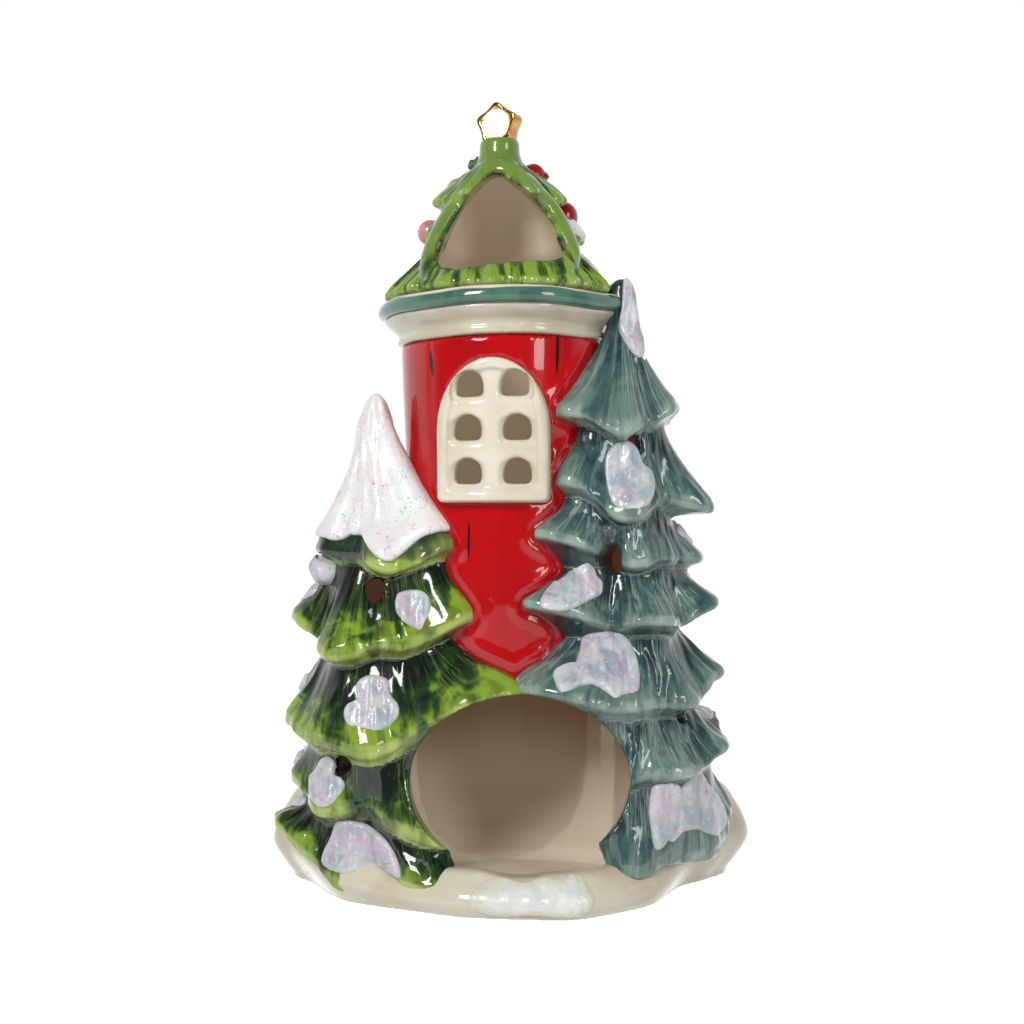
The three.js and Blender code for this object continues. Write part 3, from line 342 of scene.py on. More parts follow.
@dataclass(frozen=True)
class TieredForm:
    """A stack of skirts round a leaning axis, as in the part's source.

    Each skirt runs from a neck down and out to its edge, rolls over a lip and tucks in to the next neck.
    """

    foot: Point2
    apex: Point3
    top: tuple[Point2, ...]
    skirts: tuple[Skirt, ...]
    flare: float
    lip: float = 1.9
    relief: Relief = field(default_factory=Relief)

    def at(self, radius: Array | float, z: Array | float, angle: Array) -> Array:
        """Points at radii and heights from the axis, which leans in a straight line from foot to apex."""
        share = z / self.apex[2]
        turn = np.radians(angle)
        x = mixed(self.foot[0], self.apex[0], share) + radius * np.cos(turn)
        return joined(x, mixed(self.foot[1], self.apex[1], share) + radius * np.sin(turn), z)

    def edge(self, number: int, angle: Array) -> dict[str, Array]:
        """The edge of a skirt by direction: the skirt's own values, moved to each bough's by its weight.

        Args:
            number: The skirt, counted from the top.
            angle: Directions round the axis.

        Returns:
            The radius, z, neck, tuck and flare at each direction.
        """
        skirt = self.skirts[number]
        flare = self.flare if skirt.flare is None else skirt.flare
        plain = {"radius": skirt.radius, "z": skirt.z, "neck": skirt.neck, "tuck": skirt.tuck, "flare": flare}
        found = {key: np.full(np.shape(angle), value, float) for key, value in plain.items()}
        for bough in skirt.boughs:
            weight = bough_weight(angle, bough.at, bough.spread)
            for key, value in plain.items():
                own = getattr(bough, key)
                if own is not None:
                    found[key] += (own - value) * weight
        return found

    def neck(self, number: int, angle: Array) -> tuple[Array, Array]:
        """Radius and height of the neck above a skirt, which follows three quarters of the boughs above."""
        if number == 0:
            return tuple(np.full(np.shape(angle), value, float) for value in self.top[-1])
        above = self.edge(number - 1, angle)
        return above["neck"], mixed(self.skirts[number - 1].z, above["z"], 0.75) - above["tuck"]

    def point(self, number: int, share: Array, angle: Array) -> Array:
        """Points on a skirt's upper face: z falls with the share, the radius with its flare-th power."""
        radius, z = self.neck(number, angle)
        edge = self.edge(number, angle)
        out = np.maximum(share, 0) ** edge["flare"]
        return self.at(mixed(radius, edge["radius"], out), mixed(z, edge["z"], share), angle)

    def normal(self, number: int, share: Array, angle: Array) -> Array:
        """Directions out of a skirt's upper face: the way down across the way round."""
        down = self.point(number, share + 0.02, angle) - self.point(number, share - 0.02, angle)
        beside = self.point(number, share, angle + 1) - self.point(number, share, angle - 1)
        return unit(np.cross(down, beside))

    def crest(self, number: int, angle: Array) -> Array:
        """How near a direction is to the middle of a bough: the strongest bough's weight."""
        boughs = self.skirts[number].boughs
        return np.max([bough_weight(angle, bough.at, bough.spread) for bough in boughs], axis=0)

    def rows(self, number: int, share: Array, angle: Array, width: float) -> Array:
        """Rows of folds that run down a skirt and wander: cos of count times direction plus ripples.

        Args:
            number: The skirt.
            share: Shares of the way down it.
            angle: Directions.
            width: Width of a row at the edge.

        Returns:
            Heights from -1 to 1.
        """
        count = round(2 * math.pi * self.skirts[number].radius / width)
        turn = np.radians(angle)
        wander = ripple((turn, 3, number), (turn, 7, 2.0 * number), (turn, 13, 3.0 * number))
        bend = ripple((2.4 * share + turn, 2, number), (4.5 * share - 2 * turn, 2, 1.0))
        return np.cos(count * turn + self.relief.wander * (wander + 0.6 * bend))

    def raised(self, number: int, share: Array, angle: Array) -> Array:
        """Height of a skirt's relief: folds and needles that fade at the neck, and swollen boughs."""
        relief = self.relief
        fold = self.rows(number, share, angle, relief.fold_width)
        strength = 0.6 + 0.4 * np.sin(5 * np.radians(angle) + 2.1 * number)
        fade = ease(share, 0.0, 0.35) * (1 - 0.45 * ease(share, 0.8, 1.0))
        height = relief.fold_height * strength * (fold - 0.4 * (1 - np.abs(fold)))
        height = height + relief.needle_height * self.rows(number, share, angle, relief.needle_width)
        return fade * height + relief.swell * (self.crest(number, angle) - 0.45) * ease(share, 0.2, 0.75)

    def surface(self, foot_z: float, foot_radius: float, steps: int, pitch: float) -> Array:
        """The whole skin as rings from the foot to the tip.

        A ring is the form at one share of the way down a skirt, or at one turn of the half circle that
        rounds its lip, or part of the way in to the next neck. The relief raises the upper faces.

        Args:
            foot_z: Height of the foot.
            foot_radius: Radius of the foot.
            steps: Points in a ring.
            pitch: Distance between rings on the upper faces, in millimetres.

        Returns:
            Points as (rings, steps, 3).
        """
        angle = around(steps)
        rings = [self.at(0.35 * self.top[0][0], self.top[0][1] + 0.3, angle)]
        for (radius, z), (low_radius, low_z) in zip(self.top[:-1], self.top[1:]):
            for share in np.linspace(0, 1, max(2, int((z - low_z) / pitch)), endpoint=False):
                rings.append(self.at(mixed(radius, low_radius, share), mixed(z, low_z, share), angle))
        for number, skirt in enumerate(self.skirts):
            edge = self.edge(number, angle)
            top = self.neck(number, angle)[1].mean()
            for share in np.linspace(0, 0.95, max(8, int((top - skirt.z) * 1.25 / pitch))):
                shares = np.full(steps, share)
                lift = self.raised(number, shares, angle)[:, None] * self.normal(number, shares, angle)
                rings.append(self.point(number, shares, angle) + lift)
            fold = self.rows(number, np.ones(steps), angle, self.relief.fold_width)
            fold = 0.7 * self.relief.fold_height * fold
            for turn in np.radians([60, 35, 10, -15, -40, -65]):
                radius = edge["radius"] + self.lip * (math.cos(turn) - 1) + fold
                rings.append(self.at(radius, edge["z"] + self.lip * (math.sin(turn) - 0.35), angle))
            last = number == len(self.skirts) - 1
            low_radius, low_z = (foot_radius, foot_z) if last else self.neck(number + 1, angle)
            for share in (0.25, 0.5, 0.75) + ((1.0,) if last else ()):
                z = mixed(edge["z"] - 1.3 * self.lip, low_z, share**1.6)
                rings.append(self.at(mixed(edge["radius"] - 0.8 * self.lip, low_radius, share), z, angle))
        return np.array(rings[::-1])

    def located(self, points: Array) -> tuple[Array, Array, Array]:
        """Says where on the form each point lies.

        Args:
            points: Points as (n, 3), before the lean of the house.

        Returns:
            The skirt's number, the share of the way down it (over 1 below its edge), and the direction.
        """
        z = points[:, 2]
        axis = mixed(np.array(self.foot), np.array(self.apex[:2]), z[:, None] / self.apex[2])
        x, y = (points[:, :2] - axis).T
        angle = np.degrees(np.arctan2(y, x))
        necks = np.array([self.neck(number, angle)[1] for number in range(len(self.skirts))])
        edges = np.array([self.edge(number, angle)["z"] for number in range(len(self.skirts))])
        number = np.clip((z < necks).sum(0) - 1, 0, len(self.skirts) - 1)
        top, low = (rows[number, np.arange(len(z))] for rows in (necks, edges))
        return number, (top - z) / np.maximum(top - low, 1.0), angle

    def brushed(self, piece: Piece, points: Array, stroke: float) -> None:
        """Keeps on a piece what its painter follows.

        down is the share of the way down a skirt, crest how near a bough's middle, line where the folds
        are. brush is a place on a cylinder, so that it has no seam: (k cos, k sin, 1.2 down + 9 skirt), where
        k is the skirt's radius over the stroke's width.

        Args:
            piece: The piece, whose points are already in place.
            points: Its points before the lean.
            stroke: Width of a stroke, in millimetres.
        """
        number, share, angle = self.located(points)
        crest, line = np.zeros(len(points)), np.zeros(len(points))
        for skirt in range(len(self.skirts)):
            here = number == skirt
            crest[here] = self.crest(skirt, angle[here])
            line[here] = self.rows(skirt, np.minimum(share[here], 1.0), angle[here], self.relief.fold_width)
        girth = np.array([skirt.radius for skirt in self.skirts])[number] / stroke
        turn = np.radians(angle)
        brush = joined(girth * np.cos(turn), girth * np.sin(turn), 1.2 * share + 9 * number)
        kept = {"crest": crest, "line": line, "down": np.clip(share, -1, 2), "brush": brush}
        for name, values in kept.items():
            store(piece, name, values)


GREEN_FORM = TieredForm(
    foot=(-37.5, -9.0), apex=(-38.0, -8.0, 135.2), flare=1.2, top=((1.0, 135.2), (2.0, 133.6)),
    skirts=(
        Skirt(13, 93, 11.5, 4.6, (
            Bough(186, 16.8, 94, 38), Bough(-74, 18.7, 88.8, 34), Bough(30, 18, 94, 36),
            Bough(-36, 27.2, 94.8, 34, neck=24, flare=1.7), Bough(105, 17.5, 92, 36),
        ), flare=2.0),
        Skirt(16.5, 70, 13.6, 5, (
            Bough(172, 24, 75, 33), Bough(-116, 23.4, 65.8, 38, neck=17), Bough(-64, 22, 68.4, 28, neck=18),
            Bough(-34, 32.5, 76, 30, neck=26), Bough(45, 22, 73, 34), Bough(108, 22.5, 72, 34),
        )),
        Skirt(20, 45, 18.5, 5.5, (
            Bough(184, 25.2, 47, 36), Bough(-136, 23, 43, 28), Bough(-92, 25, 40.5, 36, neck=22),
            Bough(-27, 47.5, 56.5, 50, neck=44, flare=1), Bough(50, 24, 47, 36), Bough(120, 24, 46, 36),
        )),
        Skirt(19.5, 27, 18.5, 5, (
            Bough(180, 23.6, 31, 34), Bough(-124, 24, 24.5, 32), Bough(-50, 34, 18, 42, neck=32),
            Bough(60, 23, 30, 36), Bough(125, 24, 30, 34),
        )),
        Skirt(21, 9.5, 19, 4, (
            Bough(182, 28.6, 19.6, 32), Bough(-148, 22.5, 12, 26), Bough(-108, 22, 5, 30),
            Bough(-55, 36.5, 5.6, 30, neck=30), Bough(60, 25, 12, 36), Bough(125, 27, 16, 36),
        )),
    ),
)

BLUE_FORM = TieredForm(
    foot=(33.0, -9.0), apex=(29.8, -9.0, 166.3), flare=1.5, top=((1.8, 166.3), (3.3, 164.8), (3.8, 160.0)),
    relief=Relief(4.2, 0.42, 1.7, 0.12, 2.2, 0.9),
    skirts=(
        Skirt(12.5, 128, 11, 4, (
            Bough(-140, 24.6, 130.4, 40, neck=16, flare=1.7), Bough(-96, 17, 125, 30),
            Bough(-16, 15.4, 131.8, 38, flare=2.6), Bough(45, 16.5, 130, 36), Bough(115, 17, 128, 36),
        ), flare=2.0),
        Skirt(14.5, 108, 12.2, 4, (
            Bough(-141, 24.6, 112, 34, neck=21), Bough(-92, 20.2, 102.5, 36, neck=16),
            Bough(-12, 24.4, 105, 34), Bough(50, 20.5, 107, 34), Bough(118, 20, 108, 34),
        )),
        Skirt(15.5, 92, 14, 4, (
            Bough(-143, 31, 98, 36, neck=22, tuck=8), Bough(-86, 18, 90, 30), Bough(14, 22, 91, 40, neck=17),
            Bough(90, 21, 92, 36),
        )),
        Skirt(18, 74, 15, 4.6, (
            Bough(-145, 35, 79.6, 38, neck=22, tuck=8.5), Bough(-76, 25.4, 75.5, 34, neck=19),
            Bough(-8, 25.2, 79.2, 34, neck=13), Bough(48, 24, 74, 34), Bough(112, 24, 74, 34),
        )),
        Skirt(20, 54, 17.4, 5, (
            Bough(-142, 39, 57.4, 44, neck=35, flare=1.1), Bough(-98, 28, 53, 30, neck=24),
            Bough(-52, 24.4, 53, 30), Bough(-8, 26.2, 60.3, 30, neck=16), Bough(100, 25, 54, 36),
        )),
        Skirt(22, 35, 20, 4.6, (
            Bough(-14, 27.4, 40.4, 32, neck=22), Bough(24, 27.2, 46.5, 24), Bough(-68, 27, 35.5, 36, neck=23),
            Bough(-125, 33, 30, 40, neck=29), Bough(65, 25, 36, 36), Bough(120, 25, 36, 34),
        )),
        Skirt(20, 9.5, 17, 4, (
            Bough(12, 28.8, 20, 30, flare=1), Bough(-22, 24.5, 12, 24, flare=1),
            Bough(-58, 20.5, 12, 30, flare=1), Bough(-96, 26.5, 9.5, 26, neck=22), Bough(60, 25, 18, 34),
            Bough(118, 25, 14, 34),
        )),
    ),
)


def ruffles(count: int, radius: float, z: float, spread: float, first: float = 0.0) -> tuple[Bough, ...]:
    """Boughs spaced evenly round a skirt."""
    return tuple(Bough(first + 360 * i / count, radius, z, spread) for i in range(count))


ROOF_FORM = TieredForm(
    foot=(TOWER_X, 0.0), apex=(TOWER_X - ROOF_LEAN, 0.0, ROOF_FOOT_Z + ROOF_HEIGHT), flare=1.1, lip=1.3,
    top=tuple((r, ROOF_FOOT_Z + z) for r, z in ((5.1, ROOF_HEIGHT), (5.6, 44.1), (5.7, 41.2), (6.5, 39.0))),
    skirts=(
        Skirt(15.6, ROOF_FOOT_Z + 27.7, 16.4, 3, ruffles(6, 18.6, ROOF_FOOT_Z + 28.5, 30)),
        Skirt(20.6, ROOF_FOOT_Z + 16.7, 20.2, 2.4, (
            *ruffles(7, 23.4, ROOF_FOOT_Z + 16.7, 22, -6),
            Bough(185, 18.6, ROOF_FOOT_Z + 18.2, 40, neck=18.6),
        )),
        Skirt(ROOF_FOOT_RADIUS - 1.6, ROOF_FOOT_Z + 2.4, ROOF_FOOT_RADIUS - 2.4, 1,
              ruffles(14, ROOF_FOOT_RADIUS, ROOF_FOOT_Z + 1.9, 13, 6)),
    ),
    relief=Relief(5.6, 0.95, 1.8, 0.12, 0.9, 0.5),
)


@dataclass(frozen=True)
class Tower:
    """The waisted tower tube with its cream cove and rolled eave."""

    foot_radius: float = 28.5
    waist_radius: float = 26.9
    waist_z: float = 108.0
    wall: float = 4.0
    bowl: float = 28.0

    def radius(self, z: Array) -> Array:
        """Outer radius by height: a smooth curve through foot, middle, waist and top."""
        middle = (self.foot_radius + self.waist_radius) / 2
        heights = (0.0, self.waist_z / 2, self.waist_z, TOWER_TOP_Z)
        coarse = np.interp(z, heights, (self.foot_radius, middle, self.waist_radius, TOWER_TOP_RADIUS))
        return coarse - 0.25 * np.exp(-(((z - self.waist_z) / 20) ** 2))

    def face(self, angle: Array, z: Array) -> Array:
        """Outer face of the boards: the radius, less a shallow groove where two boards meet.

        The grooves are narrow bells at 15 unequal directions, deeper in some places than in others.
        """
        radius = self.radius(z)
        for number in range(15):
            at = -178 + 24 * number + 5.0 * math.sin(2.7 * number)
            away = (np.mod(angle - at + 180, 360) - 180) * math.pi / 180 * 28
            deep = 0.18 + 0.16 * np.sin(0.06 * z + 2.3 * number)
            radius = radius - deep * np.exp(-((away / 0.55) ** 2))
        return radius + 0.12 * np.sin(np.radians(angle) * 5 + 0.03 * z)

    def bore_radius(self, z: Array) -> Array:
        """Inner radius by height: a bowl that rises from the floor, the wall, then the roof's necks."""
        bowl = np.interp((z - FLOOR_Z) / self.bowl, [0, 0.12, 0.34, 0.66, 1], [0.25, 0.6, 0.82, 0.95, 1])
        straight = self.radius(np.minimum(z, TOWER_TOP_Z)) - self.wall
        foot = ROOF_FOOT_RADIUS - self.wall
        necks = (TOWER_TOP_RADIUS - self.wall, foot, foot - 1, 16.2, 12.4, 4.0)
        roof = np.interp(z - ROOF_FOOT_Z, (-0.15, 0, 4, 14.3, 24.7, 35.2), necks)
        return np.where(z > ROOF_FOOT_Z - 0.15, roof, np.where(z < FLOOR_Z + self.bowl, bowl, 1.0) * straight)


@dataclass(frozen=True)
class Cavity:
    """Everything that is hollow: the bore, the chamber behind the arch and the trunks."""

    tower: Tower = field(default_factory=Tower)
    arch_x: float = 1.6
    arch_width: float = 57.6
    arch_height: float = 46.0
    arch_sill: float = 9.6
    half_width: float = 33.0
    half_depth: float = 22.0
    y: float = -14.0
    top: float = 62.0
    # The trunks' axes, and their hollows' radii and tops.
    trunks: tuple[tuple[Point2, float, float], ...] = (
        ((-37.5, -9.0), 10.4, 112.0), ((33.0, -9.0), 10.6, 146.0),
    )
    roof_top: float = ROOF_FOOT_Z + 35.2

    def dome(self, z: Array) -> Array:
        """Width of the chamber by height, as a share: upright below, a rounded dome above."""
        half = (self.top - FLOOR_Z) / 2
        rise = np.clip((z - FLOOR_Z - half) / half, 0, 1)
        foot = np.interp(z - FLOOR_Z, [0, 3], [0.9, 1.0])
        return np.sqrt(np.maximum(1 - rise**2, 0)) * foot

    def depth(self, points: Array) -> Array:
        """Roughly how far each point lies outside the hollow, in millimetres; negative inside.

        It is the least of the distances to the bore, to the chamber and to each trunk's hollow.

        Args:
            points: Points as (n, 3), before the lean.

        Returns:
            Distances.
        """
        x, y, z = points.T
        bore = np.hypot(x - TOWER_X, y) - self.tower.bore_radius(z)
        bore = np.where((z > FLOOR_Z - 0.5) & (z < self.roof_top + 0.5), bore, 99)
        ring = np.hypot((x - self.arch_x) / self.half_width, (y - self.y) / self.half_depth)
        chamber = np.where((z > FLOOR_Z - 0.5) & (z < self.top), (ring - self.dome(z)) * self.half_depth, 99)
        found = np.minimum(bore, chamber)
        for (at_x, at_y), radius, top in self.trunks:
            cone = radius * mixed(1, 0.35, np.clip((z - FLOOR_Z) / (top - FLOOR_Z), 0, 1))
            hollow = np.hypot(x - at_x, y - at_y) - cone
            found = np.minimum(found, np.where((z > FLOOR_Z - 0.5) & (z < top + 0.5), hollow, 99))
        return found

    def tools(self, grow: float = 0.0) -> list[Piece]:
        """Closed skins that cut the hollow out of a piece.

        Args:
            grow: How much wider than the hollow they are.

        Returns:
            The tools.
        """
        angle = around(160)
        made = [self.bore_tool(grow)]
        heights = np.concatenate([[FLOOR_Z, FLOOR_Z + 1.5], np.linspace(FLOOR_Z + 3, self.top - 0.01, 40)])
        wide = ring_stack(np.maximum(self.dome(heights), 0.01), heights, angle, (0.0, 0.0))
        size = np.array([self.half_width + grow, self.half_depth + grow, 1.0])
        made.append(skin("chamber", wide * size + np.array([self.arch_x, self.y, 0.0])))
        for (x, y), radius, top in self.trunks:
            heights = np.linspace(FLOOR_Z, top, 30)
            radii = radius * mixed(1, 0.35, (heights - FLOOR_Z) / (top - FLOOR_Z)) + grow
            made.append(skin("trunk", ring_stack(radii, heights, angle[::2], (x, y))))
        made.append(self.arch_tool())
        return made

    def bore_tool(self, grow: float = 0.0) -> Piece:
        """The bore of the tower and the roof."""
        stretches = (
            (FLOOR_Z, FLOOR_Z + self.tower.bowl, 28), (36, ROOF_FOOT_Z - 0.2, 40),
            (ROOF_FOOT_Z, self.roof_top, 24),
        )
        heights = np.concatenate([np.linspace(*stretch) for stretch in stretches])
        radii = self.tower.bore_radius(heights) + grow
        return skin("bore", ring_stack(radii, heights, around(160), (TOWER_X, 0.0)))

    def arch_tool(self) -> Piece:
        """The arch: an ellipse pushed level through the wall from the front of the chamber outwards."""
        turn = np.radians(around(200))
        x = self.arch_x + self.arch_width / 2 * np.cos(turn)
        z = self.arch_sill + self.arch_height / 2 * (1 + np.sin(turn))
        return skin("arch", joined(x, np.linspace(-80, self.y, 12)[:, None], z))


def by_tower(radius: Array | float, angle: Array, z: Array | float) -> Array:
    """Points at radii, directions and heights round the tower's axis."""
    turn = np.radians(angle)
    return joined(TOWER_X + radius * np.cos(turn), radius * np.sin(turn), z)


def ring_stack(radii: Array, heights: Array, angle: Array, centre: Point2) -> Array:
    """Turns a profile round an upright axis: a ring of points at each radius and height."""
    turn, radii = np.radians(angle), radii[:, None]
    return joined(centre[0] + radii * np.cos(turn), centre[1] + radii * np.sin(turn), heights[:, None])


def rod(name: str, start: Point3, angle: float, width: float, height: float) -> Piece:
    """An oval rod 45 mm long, level from a point in a direction, that pierces a light hole.

    Its section wobbles a little, as a hole cut by hand does.
    """
    turn = np.radians(around(36))
    reach = 1 + 0.07 * np.sin(3 * turn + angle) + 0.05 * np.sin(2 * turn)
    far = np.linspace(0, 45, 20)[:, None]
    side, up = width / 2 * reach * np.cos(turn), height / 2 * reach * np.sin(turn)
    x, y = turned_by(far, side, angle)
    return skin(name, joined(x + start[0], y + start[1], start[2] + up))


Socket = bpy.types.NodeSocket


class Sum:
    """A number in a material's nodes; sums with it become Math nodes."""

    def __init__(self, graph: "Graph", socket: Socket) -> None:
        """Keeps the nodes' graph and the socket that holds the number."""
        self.graph, self.socket = graph, socket

    def __add__(self, other: "Value") -> "Sum":
        """This number plus another."""
        return self.graph.math("ADD", self, other)

    def __sub__(self, other: "Value") -> "Sum":
        """This number less another."""
        return self.graph.math("SUBTRACT", self, other)

    def __rsub__(self, other: float) -> "Sum":
        """A plain number less this one."""
        return self.graph.math("SUBTRACT", other, self)

    def __mul__(self, other: "Value") -> "Sum":
        """This number times another."""
        return self.graph.math("MULTIPLY", self, other)

    def __truediv__(self, other: "Value") -> "Sum":
        """This number over another."""
        return self.graph.math("DIVIDE", self, other)

    def __abs__(self) -> "Sum":
        """This number without its sign."""
        return self.graph.math("ABSOLUTE", self)

    def __pow__(self, other: float) -> "Sum":
        """This number to a power."""
        return self.graph.math("POWER", self, other)


Value = float | Sum
Tint = Colour | Socket


class Graph:
    """The nodes of a material or of the world, with a short method for each kind that they use."""

    def __init__(self, owner: bpy.types.Material | bpy.types.World, output: str) -> None:
        """Empties the nodes.

        Args:
            owner: The material or the world.
            output: Kind of its last node.
        """
        self.owner = owner
        owner.use_nodes = True
        self.nodes, self.links = owner.node_tree.nodes, owner.node_tree.links
        self.nodes.clear()
        self.output = self.new(output)

    @classmethod
    def glaze(cls, name: str) -> "Graph":
        """The graph of a new material."""
        return cls(bpy.data.materials.new(name), "OutputMaterial")

    def new(self, kind: str, **inputs: Value | Tint) -> bpy.types.Node:
        """Adds a node.

        Args:
            kind: Its kind, without the word that starts all of them.
            inputs: Its inputs, with underscores for the spaces in their names.

        Returns:
            The node.
        """
        node = self.nodes.new("ShaderNode" + kind)
        for name, value in inputs.items():
            self.set(node.inputs[name.replace("_", " ")], value)
        return node

    def set(self, socket: Socket, value: Value | Tint) -> None:
        """Links a socket to another, or sets its own value."""
        value = value.socket if isinstance(value, Sum) else value
        if isinstance(value, bpy.types.NodeSocket):
            self.links.new(value, socket)
        else:
            socket.default_value = value

    def place(self) -> Socket:
        """Object coordinates, in metres."""
        return self.new("TexCoord").outputs["Object"]

    def part(self, vector: Socket, name: str) -> Sum:
        """X, Y or Z of a vector."""
        return Sum(self, self.new("SeparateXYZ", Vector=vector).outputs[name])

    def axis(self, name: str) -> Sum:
        """X, Y or Z in the object's own space, in metres."""
        return self.part(self.place(), name)

    def attribute(self, name: str) -> bpy.types.Node:
        """An attribute kept on the mesh."""
        node = self.new("Attribute")
        node.attribute_name = name
        return node

    def number(self, name: str) -> Sum:
        """An attribute that is a number."""
        return Sum(self, self.attribute(name).outputs["Fac"])

    def math(self, kind: str, a: Value, b: Value = 0.0, clamp: bool = False) -> Sum:
        """A sum on one or two numbers."""
        node = self.new("Math")
        node.operation = kind
        node.use_clamp = clamp
        self.set(node.inputs[0], a)
        self.set(node.inputs[1], b)
        return Sum(self, node.outputs[0])

    def larger(self, a: Value, b: Value) -> Sum:
        """The larger of two numbers."""
        return self.math("MAXIMUM", a, b)

    def span(self, value: Value, low: float, high: float, start: float, end: float) -> Sum:
        """Goes in a straight line from start, where the value is low, to end, where it is high."""
        node = self.new("MapRange", Value=value, From_Min=low, From_Max=high, To_Min=start, To_Max=end)
        return Sum(self, node.outputs["Result"])

    def step(self, value: Value, low: float, high: float) -> Sum:
        """Goes smoothly from 0 at low to 1 at high, which may lie below low."""
        ends = (low, high, 0.0, 1.0) if low < high else (high, low, 1.0, 0.0)
        found = self.span(value, *ends)
        found.socket.node.interpolation_type = "SMOOTHSTEP"
        return found

    def mix(self, share: Value, a: Tint, b: Tint) -> Socket:
        """A colour between a, at share 0, and b, at share 1."""
        node = self.new("Mix")
        node.data_type = "RGBA"
        for number, value in ((0, share), (6, a), (7, b)):
            self.set(node.inputs[number], value)
        return node.outputs[2]

    def scaled(self, vector: Socket, x: float, y: float, z: float) -> Socket:
        """A vector stretched along its three directions."""
        node = self.new("VectorMath")
        node.operation = "MULTIPLY"
        self.set(node.inputs[0], vector)
        self.set(node.inputs[1], (x, y, z))
        return node.outputs[0]

    def noise(
        self, vector: Socket, scale: float, detail: float = 2.0, roughness: float = 0.5, bend: float = 0.0,
    ) -> Sum:
        """Smooth noise around 0.5."""
        node = self.new(
            "TexNoise", Vector=vector, Scale=scale, Detail=detail, Roughness=roughness, Distortion=bend,
        )
        return Sum(self, node.outputs["Fac"])

    def cells(self, vector: Socket, scale: float) -> bpy.types.Node:
        """Random cells, such as flakes of glitter."""
        return self.new("TexVoronoi", Vector=vector, Scale=scale)

    def bump(self, height: Value, strength: float, distance: float, **under: Socket) -> Socket:
        """A surface roughened by a height, over another such surface if its Normal is given."""
        node = self.new("Bump", Height=height, Strength=strength, Distance=distance, **under)
        return node.outputs["Normal"]

    def gloss(self, coat: float = 0.9) -> dict[str, Value]:
        """Inputs of a glossy glaze that is dull inside the hollow."""
        inside = self.number("inside")
        return {
            "Roughness": inside * 0.35 + 0.2,
            "Coat_Weight": self.math("SUBTRACT", 1.12, inside, clamp=True) * coat,
            "Coat_Roughness": 0.025,
            "Specular_IOR_Level": 0.12,
        }

    def finish(self, colour: Tint, **inputs: Value | Tint) -> bpy.types.Material:
        """Ends the material in a Principled shader of a colour, with other inputs as for a new node."""
        return self.end(self.new("BsdfPrincipled", Base_Color=colour, **inputs))

    def end(self, shader: bpy.types.Node) -> bpy.types.Material | bpy.types.World:
        """Ends the nodes in a shader."""
        self.links.new(shader.outputs[0], self.output.inputs["Surface"])
        return self.owner


CREAM_INSIDE = srgb(228, 216, 195)


